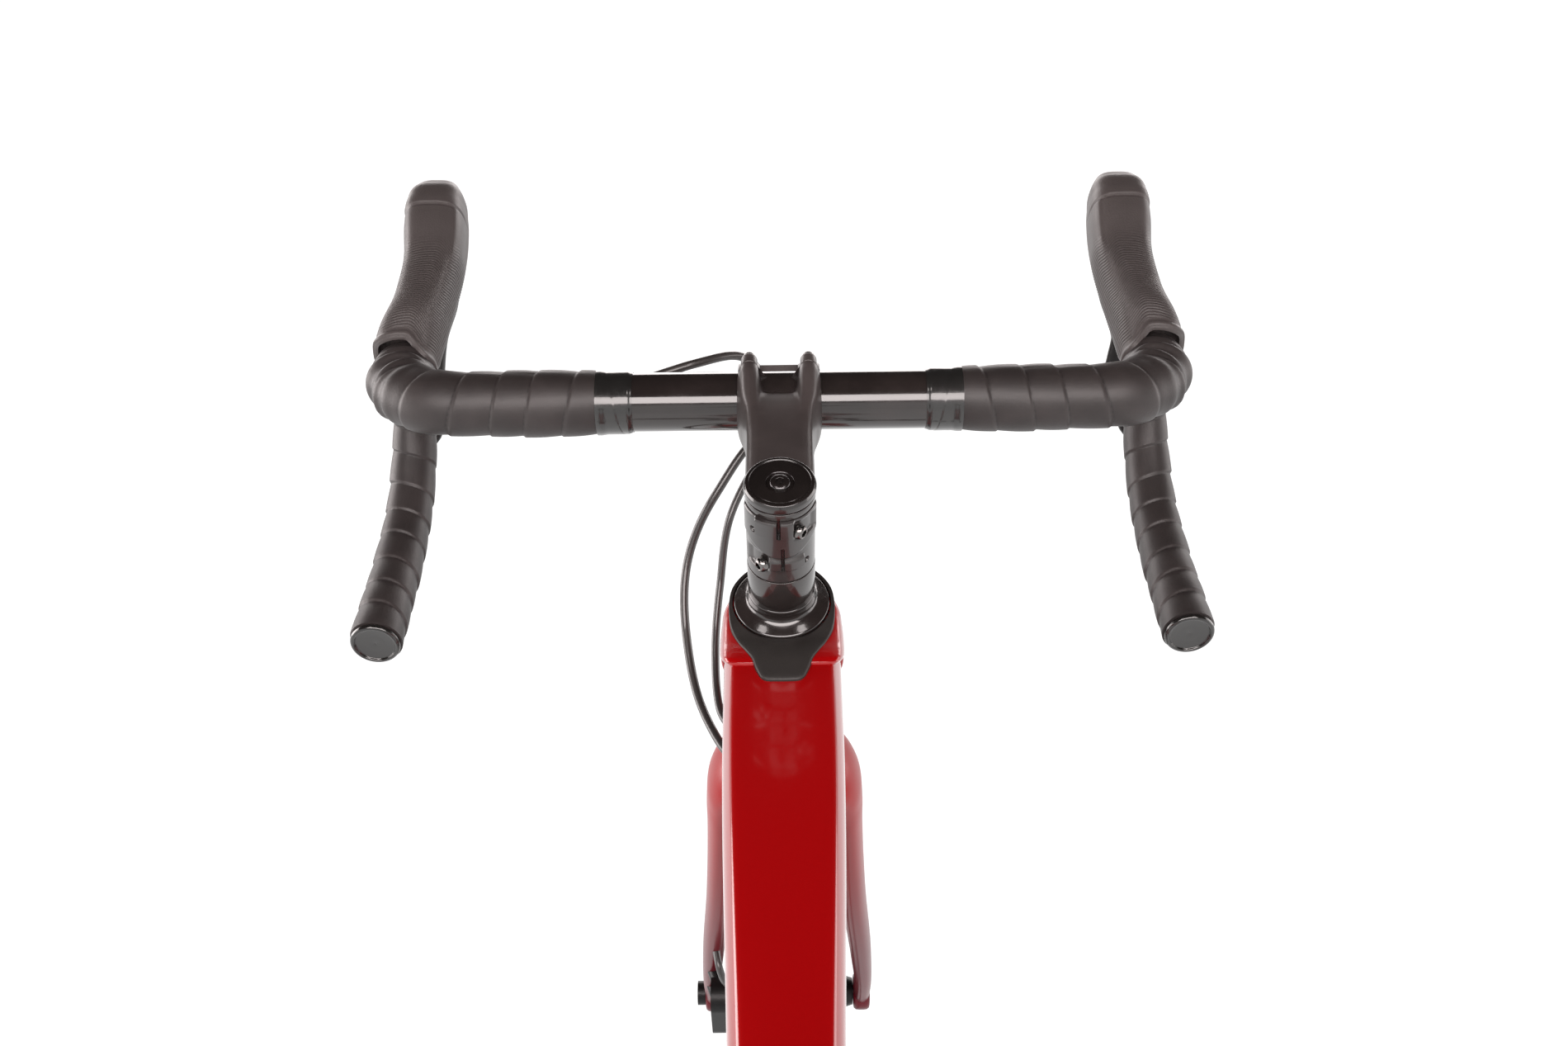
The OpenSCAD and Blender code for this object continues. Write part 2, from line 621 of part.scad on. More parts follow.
module rear_brake_hose() {
  color("black") {
    line(rear_hose_pts, hose_r);
    line(rear_tail_pts, hose_r);
  }
}
module shift_housing() {
  color("black") {
    line(housing_pts, hose_r * 0.9);
    line(shift_tail_pts, hose_r * 0.9);
  }
}
module front_brake_hose() {
  color("black") {
    line(front_hose_pts, hose_r);
    line(front_tail_pts, hose_r);
  }
}

// Chain: pairs of inner and outer plates on rollers
plate_r = 4.1;
plate_t = 0.9;
inner_half = 1.2;
outer_half = inner_half + plate_t + 0.05;
module plate(p, q, x) {
  d = q - p;
  side(x, p.x, p.y) rotate(atan2(d.y, d.x)) linear_extrude(plate_t) {
    circle(r = plate_r, $fn = 16);
    translate([norm(d), 0]) circle(r = plate_r, $fn = 16);
    translate([0, -plate_r * 0.8]) square([norm(d), plate_r * 1.6]);
  }
}
module chain() {
  w = outer_half + plate_t;
  color("dimgray") for (i = [0:chain_links - 1]) {
    p = chain_at(i);
    q = chain_at((i + 1) % chain_links);
    h = i % 2 == 0 ? outer_half : inner_half;
    plate(p, q, chain_x + h);
    plate(p, q, chain_x - h - plate_t);
    side(chain_x - w, p.x, p.y) cylinder(r = roller_r, h = 2 * w);
  }
}

// Rear derailleur
knuckle_x = drop_in + 1 + hang_t;
knuckle_w = 16;
cage_t = 2;
cage_half = 5.2;
module derailleur_knuckle() {
  color("black") {
    side(knuckle_x + gap, hang_c[0], hang_c[1]) cylinder(r = 11, h = knuckle_w);
    side(drop_in + 0.5, hang_c[0], hang_c[1]) cylinder(r = 5, h = knuckle_w);
    side(knuckle_x + gap + 3, hang_c[0], hang_c[1]) rotate(-112) translate([6, -7])
      cube([16, 14, knuckle_w - 4]);
  }
}
link_a = [knuckle_x + 9, hang_c[0] - 8, hang_c[1] - 22];
link_b = [chain_x + 22, guide_c[0] - 16, guide_c[1] + 10];
module derailleur_link() {
  color("black") difference() {
    union() {
      rod(link_a + [5, 0, 4], link_b + [8, 0, 0], 6);
      rod(link_a + [-5, 4, 4], link_b + [-4, 3, 4], 5);
      rod(link_b + [-8, 1, 3], link_b + [10, 0, 0], 7);
    }
    side(knuckle_x + gap - 1, hang_c[0], hang_c[1]) cylinder(r = 11, h = knuckle_w + 2);
    side(knuckle_x + gap + 3, hang_c[0], hang_c[1]) rotate(-112) translate([6, -7])
      cube([16, 14, knuckle_w - 4]);
    side(0, guide_c[0], guide_c[1]) cylinder(r = 14, h = 120);
  }
}
axle_pin_r = 2.5;
module cage_plate(x, t) {
  side(x, guide_c[0], guide_c[1]) rotate(cage_a) linear_extrude(t) difference() {
    taper_arm(cage_len, 15, 13);
    translate([cage_len * 0.5, 0]) circle(r = 7);
  }
}
module derailleur_cage() {
  tc = tension_c(cage_a);
  color("black") {
    cage_plate(chain_x + cage_half, cage_t);
    cage_plate(chain_x - cage_half - cage_t, cage_t);
    for (c = [guide_c, tc]) side(chain_x - cage_half - cage_t - 1, c.x, c.y)
      cylinder(r = axle_pin_r, h = 2 * cage_half + 2 * cage_t + 2);
    side(chain_x + cage_half + cage_t, guide_c.x, guide_c.y) cylinder(r = 13.8, h = 20);
  }
}
pulley_t = 2.2;
module pulley(c, a) {
  color("dimgray") side(chain_x, c.x, c.y) difference() {
    union() {
      linear_extrude(pulley_t, center = true) teeth(pulley_teeth, a, axle_pin_r + run);
      cylinder(r = 7, h = 2 * cage_half - 2 * gap, center = true);
    }
    cylinder(r = axle_pin_r + run, h = 40, center = true);
  }
}
module guide_pulley() {
  pulley(guide_c, phase(2));
}
module tension_pulley() {
  pulley(tension_c(cage_a), phase(1));
}

// Seatpost, clamp, rails and saddle
rail_gap = 44;
rail_r = 3.5;
post_top = saddle_height - 52;
sad_c = seat_point(saddle_height);
rail_z = seat_point(post_top).z + 10;
rail_y = seat_point(post_top).y;
module seatpost() {
  color("black") difference() {
    union() {
      rod(seat_point(seat_tube_len - 150), seat_point(post_top), post_r);
      side(-17, rail_y, rail_z - 8) cylinder(r = 12, h = 34);
    }
    rod(seat_point(seat_tube_len - 151), seat_point(post_top - 20), post_r - 3);
    side(-30, rail_y, rail_z - 8) cylinder(r = 5, h = 60);
  }
}
module saddle_clamp() {
  w = rail_gap / 2;
  color("dimgray") difference() {
    union() {
      side(-w - 7, rail_y, rail_z - 8) cylinder(r = 5 - seat, h = 2 * w + 14);
      both() translate([w, rail_y, rail_z]) cube([9.5, 34, 12], center = true);
      both() side(w - 4.75, rail_y, rail_z - 8) cylinder(r = 10, h = 9.5);
    }
    both() rod([w, rail_y - 40, rail_z], [w, rail_y + 40, rail_z], rail_r + seat);
  }
}
sad_back = rail_y - 128;
sad_top = sad_c.z;
function rail_pts(s) = [[s * 19, sad_back + 30, sad_top - 33], [s * 22, rail_y - 62, rail_z + 4],
  [s * rail_gap / 2, rail_y - 40, rail_z],
  [s * rail_gap / 2, rail_y + 40, rail_z], [s * 18, rail_y + 70, rail_z + 5],
    [s * 10, sad_back + saddle_len - 38, sad_top - 29]];
module saddle_rails() {
  color("silver") both() union() {
    p = rail_pts(1);
    q = smooth([p[3], p[4], p[5]], 4);
    k = smooth([p[2], p[1], p[0]], 4);
    rod(p[2], p[3], rail_r);
    skin(tube_rings(q, [for (i = q) rail_r], 10, [1, 0, 0]));
    skin(tube_rings(k, [for (i = k) rail_r], 10, [1, 0, 0]));
  }
}
// Saddle rows from nose to tail: place along the length, half width, crown, drop of the top, edge depth
sad_rows = [[0, 0.1, 5, 13, 10], [0.02, 0.19, 9, 7, 15], [0.08, 0.25, 12, 3.5, 20],
  [0.24, 0.28, 13, 1.5, 22],
  [0.4, 0.32, 13, 1, 23], [0.52, 0.42, 13, 1.2, 24], [0.64, 0.6, 13, 1, 26], [0.76, 0.82, 13, 0, 29],
    [0.87, 0.98, 13, -1, 31],
  [0.95, 0.96, 12, -1, 29], [0.99, 0.84, 10, 2, 24], [1, 0.7, 6, 6, 17]];
sad_n = 28;
function sad_ring(r) = let (y = sad_back + saddle_len * (1 - r[0]), a = r[1] * saddle_w / 2,
  top = sad_top - r[3],
    chan = r[0] > 0.2 && r[0] < 0.97 ? 4.5 : 0)
  [for (i = [0:sad_n - 1]) let (t = 360 * (i + 0.5) / sad_n, c = cos(t), s = sin(t),
      x = a * sign(c) * pow(abs(c), 0.8) * (s < 0 ? 1 - 0.1 * -s : 1),
      z = s > 0 ? top - r[2] * (1 - pow(s, 0.9)) : top - r[2] - (r[4] - r[2]) * pow(-s, 0.5))
    [x, y, z - chan * (s > 0 ? exp(-pow(x / 9, 2)) : 0)]];
module saddle() {
  color("black") difference() {
    skin([for (r = sad_rows) sad_ring(r)]);
    both() union() {
      p = rail_pts(1);
      rod(p[1], p[0] + (p[0] - p[1]) * 0.1, rail_r + seat);
    }
  }
}

// Fork in the steering frame
crown_z0 = -head_len - 1;
crown_z1 = -head_len - 34;
leg_in = front_old / 2;
leg_p = [[35, 2, crown_z1], [38, 5, crown_z1 - 50], [44, 14, crown_z1 - 150],
  [leg_in + 3, 30, -axle_down + 96],
  [leg_in + 6.6, rake - 6, -axle_down + 30], [leg_in + 6.6, rake, -axle_down - 2]];
module leg_shape() {
  stay_loft(leg_p, [1, 0, 0], [0, -1, 0], [10, 9.5, 8.5, 7.5, 6.4, 6.2], [21, 19, 16, 13, 12, 11]);
}
module fork_crown() {
  color("crimson") steer() difference() {
    union() {
      translate([0, 0, -head_len - 4]) cylinder(r = race_r, h = bearing_h + 4);
      translate([0, 0, -head_len + bearing_h - eps]) cylinder(r1 = race_r, r2 = steerer_r, h = 30);
      translate([0, 0, -head_len + 30]) cylinder(r = steerer_r, h = head_len - 30 + cap_z0 - 0.5);
      skin([oval([0, 1, crown_z1], [1, 0, 0], [0, 1, 0], 46, 22, 3, 24), oval([0, 0, crown_z1 + 14],
        [1, 0, 0], [0, 1, 0], 43, 25, 2.8, 24),
        oval([0, 0, crown_z0 - 6], [1, 0, 0], [0, 1, 0], 33, 28, 2.3, 24), oval([0, 0, crown_z0],
          [1, 0, 0], [0, 1, 0], 29, 28.5, 2, 24)]);
    }
    translate([0, 0, -head_len + 40]) cylinder(r = steerer_r - 3, h = 200);
    translate([0, rake, -axle_down]) rotate([0, 90, 0]) cylinder(r = wheel_r + 12,
      h = 2 * (tyre_w / 2 + 7.5), center = true);
  }
}
module fork_legs() {
  color("maroon") steer() both() difference() {
    union() {
      leg_shape();
      translate([leg_in + 0.2, rake, -axle_down]) rotate([0, 90, 0]) cylinder(r = 14, h = 12.6);
    }
    translate([0, rake, -axle_down]) rotate([0, 90, 0]) cylinder(r = axle_r + seat, h = 200);
    translate([0, rake, -axle_down]) rotate([0, 90, 0]) cylinder(r = 20, h = 2 * leg_in, center = true);
  }
}
module headset_cover() {
  color("black") steer() rotate_extrude() polygon([[stem_bore, 0.5], [cover_r - 1.5, 0.5], [cover_r, 2],
    [cover_r, 4],
    [cover_r - 1.2, 6], [steerer_r + 5.6, 8.6], [steerer_r + 3.8, 11], [steerer_r + 3, cover_h],
      [stem_bore, cover_h]]);
}
module headset_spacers() {
  color("black") steer() {
    bearing_ring(steerer_r + 2.9, stem_bore, cover_h, spacer_h);
    bearing_ring(steerer_r + 3, stem_bore, stem_z1, cap_z0 - stem_z1);
  }
}
stem_w = 35;
clamp_w = 46;
clamp_r = bar_r + 4.6;
stem_r = steerer_r + 3.9;
bolt_r = 2.5;
// Frame at the bar clamp: first axis along the stem, third axis to the right
module clamp_frame() {
  translate([0, bar_ly, bar_lz]) rotate([90, 0, 90]) rotate(-stem_drop) children();
}
plate_bolts = [15.5, clamp_r + 2.6];
pinch_bolts = [[1, stem_z0 + 29], [-1, stem_z0 + 12]];
module stem() {
  m = stem_w / 2;
  color("dimgray") steer() difference() {
    union() {
      translate([0, 0, stem_z0]) cylinder(r = stem_r, h = stem_h);
      rotate([90, 0, 90]) translate([0, 0, -m]) linear_extrude(stem_w) polygon([[0, stem_z0 + 2],
        [30, stem_z0 + 6],
        [bar_ly - 20, bar_lz - 19], [bar_ly - 2, bar_lz - 20], [bar_ly - 2, bar_lz + 20],
          [bar_ly - 22, bar_lz + 20], [26, stem_z1 - 3], [0, stem_z1 - 1]]);
      clamp_frame() translate([0, 0, -clamp_w / 2]) cylinder(r = clamp_r, h = clamp_w);
      clamp_frame() for (s = [-1, 1]) for (h = [-1, 1]) translate([-14, h * plate_bolts[1] - 4,
        s * plate_bolts[0] - 5])
        cube([14, 8, 10]);
      translate([-13, -stem_r - 3, stem_z0 + 4]) cube([26, 12, stem_h - 8]);
    }
    translate([0, 0, stem_z0 - 1]) cylinder(r = stem_bore, h = stem_h + 2);
    translate([-1.2, -60, stem_z0 - 1]) cube([2.4, 60, stem_h + 2]);
    clamp_frame() translate([0, 0, -50]) cylinder(r = bar_r + seat, h = 100);
    clamp_frame() translate([-0.8, -60, -60]) cube([120, 120, 120]);
    clamp_frame() translate([-40, 10, -8]) cube([60, 40, 16]);
    clamp_frame() for (s = [-1, 1]) for (h = [-1, 1]) translate([-30, h * plate_bolts[1],
      s * plate_bolts[0]]) rotate([0, 90, 0])
      cylinder(r = bolt_r + seat, h = 60);
    for (b = pinch_bolts) translate([-30, -stem_r + 1, b[1]]) rotate([0, 90, 0])
      cylinder(r = bolt_r + seat, h = 60);
  }
}
module stem_faceplate() {
  color("dimgray") steer() clamp_frame() difference() {
    union() {
      translate([0, 0, -clamp_w / 2]) cylinder(r = clamp_r, h = clamp_w);
      for (s = [-1, 1]) for (h = [-1, 1]) translate([0, h * plate_bolts[1] - 4, s * plate_bolts[0] - 5])
        cube([8, 8, 10]);
    }
    translate([0, 0, -50]) cylinder(r = bar_r + seat, h = 100);
    translate([0.8 - 120, -60, -60]) cube([120, 120, 120]);
    translate([0, -9, -13]) cube([60, 18, 26]);
    for (s = [-1, 1]) for (h = [-1, 1]) translate([-30, h * plate_bolts[1], s * plate_bolts[0]])
      rotate([0, 90, 0])
      cylinder(r = bolt_r + seat, h = 60);
  }
}
module stem_bolts() {
  color("silver") steer() {
    clamp_frame() for (s = [-1, 1]) for (h = [-1, 1]) translate([-16, h * plate_bolts[1],
      s * plate_bolts[0]]) rotate([0, 90, 0]) {
      cylinder(r = bolt_r, h = 24);
      translate([0, 0, 24]) difference() {
        cylinder(r = 4, h = 4.5);
        translate([0, 0, 2]) cylinder(r = 2.2, h = 4, $fn = 6);
      }
    }
    for (b = pinch_bolts) translate([0, -stem_r + 1, b[1]]) rotate([0, b[0] * 90, 0]) {
      translate([0, 0, -11]) cylinder(r = bolt_r, h = 24);
      translate([0, 0, 13]) difference() {
        cylinder(r = 4, h = 4);
        translate([0, 0, 1.8]) cylinder(r = 2.2, h = 4, $fn = 6);
      }
    }
  }
}
module top_cap() {
  color("black") steer() difference() {
    union() {
      translate([0, 0, cap_z0]) rotate_extrude() polygon([[0, 0], [steerer_r + 2.6, 0],
        [steerer_r + 3.4, 1.4], [steerer_r + 3.4, cap_h - 1.2],
        [steerer_r + 2.4, cap_h], [7, cap_h], [6.4, cap_h - 1.5], [0, cap_h - 1.5]]);
      translate([0, 0, cap_z0 - 26]) cylinder(r = 3, h = 27);
    }
    translate([0, 0, cap_z0 + cap_h - 4]) cylinder(r = 2.9, h = 10, $fn = 6);
  }
}

// Handlebar from the middle to the right end, relative to the middle
half_pts = [[0, 0, 0], [80, 0, 0], [150, 0, 0], [186, 4, 0], [206.5, 24, -1], [212, 52, -3],
  [215, 80, -15], [219.5, 92, -40],
  [221.5, 84, -70], [222.7, 58, -96], [224, 20, -112], [225.5, -40, -125]];
half_line = from_bar(smooth(half_pts, 4));
bar_end_r = 11.9;
taper = [211, 215];
function bar_rad(x) = x < taper[0] ? bar_r : x > taper[1] ? bar_end_r :
  bar_r + (bar_end_r - bar_r) * (x - taper[0]) / (taper[1] - taper[0]);
bar_sides = 12;
half_rings = tube_rings(half_line, [for (p = half_line) bar_rad(p.x)], bar_sides, [0, 0, 1]);
module handlebar() {
  m = len(half_rings) - 1;
  color("black") skin(concat([for (i = [m:-1:1]) mirror_x(half_rings[i])], half_rings));
}
// Tape wound on the bar from the inner end to the drop end; each turn overlaps the last
tape_pts = [for (i = [1:len(half_pts) - 1]) half_pts[i]];
tape_line = from_bar(smooth(tape_pts, 7));
tape_in_rings = tube_rings(half_line, [for (p = half_line) bar_rad(p.x) + 2 * seat], bar_sides, [0, 0, 1]);
tape_in = [for (i = [4:len(half_line) - 1]) tape_in_rings[i]];
tape_lip = 0.9;
function tape_rings(p, r, lip) = let (t = tangents(p), us = walk(t, 0, [0, 0, 1]), m = len(p) - 1)
  [for (i = [0:m]) let (w = cross(t[i], us[i])) [for (j = [0:bar_sides - 1])
    let (a = j / bar_sides, k = i / m * tape_turns - a, rr = bar_rad(p[i].x) + r + lip * (k - floor(k)))
    p[i] + (us[i] * cos(360 * a) + w * sin(360 * a)) * rr]];
module tape_side() {
  sleeve(tape_rings(tape_line, tape_t - tape_lip / 2, tape_lip), tape_in);
}
module bar_tape() {
  color("dimgray") both() tape_side();
}
module bar_plugs() {
  e = half_line[len(half_line) - 1];
  d = unit(e - half_line[len(half_line) - 2]);
  color("black") both() rod(e + d * 0.1, e + d * 5, bar_end_r + 1.2);
}
// Lever hoods: rows of centre, half width, half height, tilt
hood_x = 208;
hood_rows = [[[hood_x + 4, 54, 4], 20.4, 21.5, 8], [[hood_x + 3, 66, 8], 20.2, 24, 15],
  [[hood_x + 0.4, 96, 19], 19.2, 23, 24], [[hood_x - 2.6, 126, 34], 17.6, 22, 30],
  [[hood_x - 1.4, 148, 46], 18.6, 25, 34], [[hood_x + 0.4, 164, 55], 18.8, 25, 38],
  [[hood_x + 0.6, 174, 63], 15, 19, 44], [[hood_x + 0.6, 178, 66.5], 9, 11, 48]];
hood_n = 18;
pivot = [hood_x, 170, 15];
lug_in = 9;
pin_r = 2.5;
lever_w = lug_in - gap;
module hood_loft() {
  skin([for (r = hood_rows) let (t = r[3]) oval(r[0] + [0, bar_y, bar_z], [1, 0, 0],
    [0, sin(t), -cos(t)], r[1], r[2], 2.6, hood_n)]);
}
cut_r = bar_end_r + tape_t + 0.8;
module hood_right_shape() {
  o = [0, bar_y, bar_z];
  a = pivot + o;
  cut = [for (i = [14:34]) half_line[i]];
  difference() {
    union() {
      hood_loft();
      for (s = [-1, 1]) {
        side(a.x + (s > 0 ? lug_in : -lug_in - 4), a.y, a.z) cylinder(r = 6, h = 4);
        translate([a.x + s * (lug_in + 2) - 2, a.y - 14, a.z - 2]) cube([4, 18, 18]);
      }
      side(a.x - lug_in - 2, a.y, a.z) cylinder(r = pin_r, h = 2 * lug_in + 4);
    }
    skin(tube_rings(cut, [for (p = cut) bar_rad(p.x) + tape_t + 0.8], bar_sides, [0, 0, 1]));
    side(a.x - lever_w - gap, a.y, a.z) difference() {
      cylinder(r = 9, h = 2 * lever_w + 2 * gap);
      translate([0, 0, -1]) cylinder(r = pin_r, h = 2 * lever_w + 4);
    }
  }
}
module hood_right() {
  color("dimgray") hood_right_shape();
}
module hood_left() {
  color("dimgray") mirror([1, 0, 0]) hood_right_shape();
}
lever_rows = [[[hood_x, 174, 12], 8, 4.5], [[hood_x + 3, 178, -8], 6.8, 4.2],
  [[hood_x + 11, 176, -32], 5.6, 4.5], [[hood_x + 14.5, 166, -60], 5.4, 4.5],
  [[hood_x + 16, 154, -84], 5.4, 4.5], [[hood_x + 16.5, 150, -92], 4.6, 4]];
module lever_shape(stud) {
  o = [0, bar_y, bar_z];
  a = pivot + o;
  difference() {
    union() {
      side(a.x - lever_w, a.y, a.z) cylinder(r = 6.5, h = 2 * lever_w);
      skin([for (r = lever_rows) oval(r[0] + o, [1, 0, 0], [0, -1, 0], r[1], r[2], 2.6, 12)]);
      if (stud) rod(o + paddle_c + [0, 24, 0], o + paddle_c + [0, -6, 0], pin_r);
    }
    side(a.x - 20, a.y, a.z) cylinder(r = pin_r + run, h = 40);
  }
}
paddle_c = [hood_x + 7, 158, -14];
module brake_lever_right() {
  color("black") lever_shape(true);
}
module brake_lever_left() {
  color("black") mirror([1, 0, 0]) lever_shape(false);
}
module shift_paddle() {
  o = [0, bar_y, bar_z] + paddle_c;
  color("black") difference() {
    union() {
      rod(o + [0, -4, 0], o + [0, 6, 0], 5.5);
      skin([oval(o + [0, 1, 2], [1, 0, 0], [0, -1, 0], 5, 3, 3, 12), oval(o + [1, -1, -16], [1, 0, 0],
        [0, -1, 0], 5.5, 2, 3, 12),
        oval(o + [0, -5, -36], [1, 0, 0], [0, -1, 0], 8, 2, 3, 12), oval(o + [-2, -9, -46], [1, 0, 0],
          [0, -1, 0], 6, 1.6, 3, 12)]);
    }
    rod(o + [0, -20, 0], o + [0, 30, 0], pin_r + run);
  }
}
fc_c = [front_rotor_x, front_y - 63, axle_z + 50];
module front_caliper() {
  color("black") difference() {
    union() {
      translate(fc_c) rotate([90 + lean, 0, 0]) caliper_block();
      for (d = [-16, 16]) rod(fc_c + [-7, -d * 0.31, d], fc_c + [-16, 26 - d * 0.31, d + 8], 5);
    }
    steer() mirror([1, 0, 0]) leg_shape();
    rotor_slot(front_rotor_x, front_y);
  }
}
module front_axle() {
  color("black") side(0, front_y, axle_z) {
    translate([0, 0, -leg_in - 14]) cylinder(r = axle_r, h = 2 * leg_in + 26);
    translate([0, 0, -leg_in - 19]) cylinder(r = 9, h = 6);
  }
}

// Wheels
module front_tyre() {
  color("dimgray") side(0, front_y, axle_z) tyre_body();
}
module front_rim() {
  color("black") side(0, front_y, axle_z) rim_body();
}
module front_spokes() {
  color("silver") side(0, front_y, axle_z) spoke_set(front_fl, front_fr, spoke_r);
}
module front_hub() {
  color("black") side(0, front_y, axle_z) hub_body(front_old, front_fl, front_fr, front_rotor_x,
    front_old / 2 - hub_end);
}
module front_rotor() {
  color("silver") side(front_rotor_x, front_y, axle_z) rotor_body();
}
module rear_tyre() {
  color("dimgray") side(0, rear_y, axle_z) tyre_body();
}
module rear_rim() {
  color("black") side(0, rear_y, axle_z) rim_body();
}
module rear_spokes() {
  color("silver") side(0, rear_y, axle_z) spoke_set(rear_fl, rear_fr, spoke_r);
}
module rear_hub() {
  color("black") side(0, rear_y, axle_z) hub_body(rear_old, rear_fl, rear_fr, rear_rotor_x, cog_x(10) - 2);
}
module rear_rotor() {
  color("silver") side(rear_rotor_x, rear_y, axle_z) rotor_body();
}
carrier_r = 15;
cog_web = 5;
module cassette() {
  last = len(cogs) - 1;
  // Windows in the two largest sprockets, between the carrier and the roots of the smaller one
  window_out = pitch_r(cogs[last - 1]) - roller_r - cog_web;
  window_in = 2 * carrier_r;
  color("silver") side(0, rear_y, axle_z) difference() {
    union() {
      for (i = [0:last]) translate([0, 0, cog_x(i) - cog_t / 2]) linear_extrude(cog_t)
        teeth(cogs[i], i == used_cog ? phase(3) : i * 7, 8);
      translate([0, 0, cog_x(last) - cog_t / 2]) cylinder(r = carrier_r,
        h = cassette_out - cog_x(last) + cog_t + 1);
    }
    cylinder(r = hub_bore, h = 200);
    for (i = [0:5]) rotate(i * 60) translate([(window_out + window_in) / 2, 0, 0])
      cylinder(r = (window_out - window_in) / 2, h = cog_x(last - 1) + cog_t / 2 + 0.2);
  }
}

// Cranks, chainring and pedals; the right crank points forward
arm_t = 13;
arm_x = 62;
spider_x = chain_x + ring_t / 2;
bolt_circle = 55;
pedal_r = 6;
pedal_w = 84;
spider_t = 4;
module crank_right() {
  color("black") side(0, bb_y, bb_z) {
    difference() {
      union() {
        translate([0, 0, arm_x]) linear_extrude(arm_t) taper_arm(crank_len, 19, 13);
        translate([0, 0, bb_shell_w / 2 + gap]) cylinder(r = 17, h = arm_x - bb_shell_w / 2);
        translate([0, 0, spider_x]) linear_extrude(spider_t) for (i = [0:4]) rotate(36 + 72 * i)
          taper_arm(bolt_circle, 18, 7.5);
        translate([0, 0, spider_x]) cylinder(r = 22, h = arm_x - spider_x + 1);
      }
      for (i = [0:4]) rotate(36 + 72 * i) translate([bolt_circle, 0, 0]) cylinder(r = 4 + seat, h = 100);
      translate([0, 0, arm_x + arm_t - 3]) cylinder(r = 9, h = 10);
    }
    translate([0, 0, -arm_x - 2]) cylinder(r = crank_r, h = 2 * arm_x + 4);
    translate([crank_len, 0, arm_x + 2]) cylinder(r = pedal_r, h = arm_t + pedal_w);
  }
}
module crank_left() {
  color("black") side(0, bb_y, bb_z) rotate(180) difference() {
    union() {
      translate([0, 0, -arm_x - arm_t]) linear_extrude(arm_t) taper_arm(crank_len, 19, 13);
      translate([0, 0, -arm_x]) cylinder(r = 17, h = arm_x - bb_shell_w / 2 - gap);
      translate([crank_len, 0, -arm_x - arm_t - pedal_w + 2])
        cylinder(r = pedal_r, h = arm_t + pedal_w - 4);
    }
    translate([0, 0, -arm_x - 2 - seat]) cylinder(r = crank_r + seat, h = 60);
    translate([0, 0, -arm_x - arm_t - 1]) cylinder(r = 9, h = 6);
  }
}
module chainring() {
  pr = pitch_r(ring_teeth);
  color("dimgray") side(chain_x, bb_y, bb_z) {
    linear_extrude(ring_t, center = true) difference() {
      union() {
        teeth(ring_teeth, phase(0), pr - 16);
        for (i = [0:4]) rotate(36 + 72 * i) {
          translate([bolt_circle, 0]) circle(r = 8);
          translate([bolt_circle, -8]) square([pr - 12 - bolt_circle, 16]);
        }
      }
      for (i = [0:4]) rotate(36 + 72 * i) translate([bolt_circle, 0]) circle(r = 4 + seat);
    }
    for (i = [0:4]) rotate(36 + 72 * i) translate([bolt_circle, 0, -2.5]) {
      cylinder(r = 4, h = 2.5 + spider_t + 2);
      cylinder(r = 5.5, h = 2.5 - ring_t / 2);
    }
  }
}
module pedal_body() {
  l = 78;
  h = 20;
  difference() {
    union() {
      cylinder(r = 10.5, h = l);
      for (z = [0, l - 6]) translate([-42, -h / 2, z]) cube([84, h, 6]);
      for (s = [-1, 1]) translate([s * 36 - 3, -h / 2, 0]) cube([6, h, l]);
      translate([-40, -3, l / 2 - 4]) cube([80, 6, 8]);
    }
    translate([0, 0, -1]) cylinder(r = pedal_r + run, h = l + 2);
  }
}
pedal_x = arm_x + arm_t + 3;
module pedal_right() {
  color("black") side(pedal_x, bb_y + crank_len, bb_z) pedal_body();
}
module pedal_left() {
  color("black") mirror([1, 0, 0]) side(pedal_x, bb_y - crank_len, bb_z) pedal_body();
}

head_tube();
top_tube();
down_tube();
seat_tube();
chainstays();
seatstays();
derailleur_hanger();
seat_clamp();
headset_bearings();
crank_bearings();
headset_boot();
rear_caliper();
rear_axle();
rear_brake_hose();
shift_housing();
chain();
derailleur_knuckle();
derailleur_link();
derailleur_cage();
guide_pulley();
tension_pulley();
seatpost();
saddle_clamp();
saddle_rails();
saddle();
fork_crown();
fork_legs();
headset_cover();
headset_spacers();
stem();
stem_faceplate();
stem_bolts();
top_cap();
handlebar();
bar_tape();
bar_plugs();
hood_left();
hood_right();
front_caliper();
front_axle();
front_brake_hose();
brake_lever_left();
brake_lever_right();
shift_paddle();
front_tyre();
front_rim();
front_spokes();
front_hub();
front_rotor();
rear_tyre();
rear_rim();
rear_spokes();
rear_hub();
rear_rotor();
cassette();
crank_right();
crank_left();
chainring();
pedal_left();
pedal_right();
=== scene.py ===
"""Dressed drop-bar bicycle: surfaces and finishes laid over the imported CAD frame."""
import json
import math

import bmesh
import bpy
import numpy as np
from mathutils import Matrix, Vector


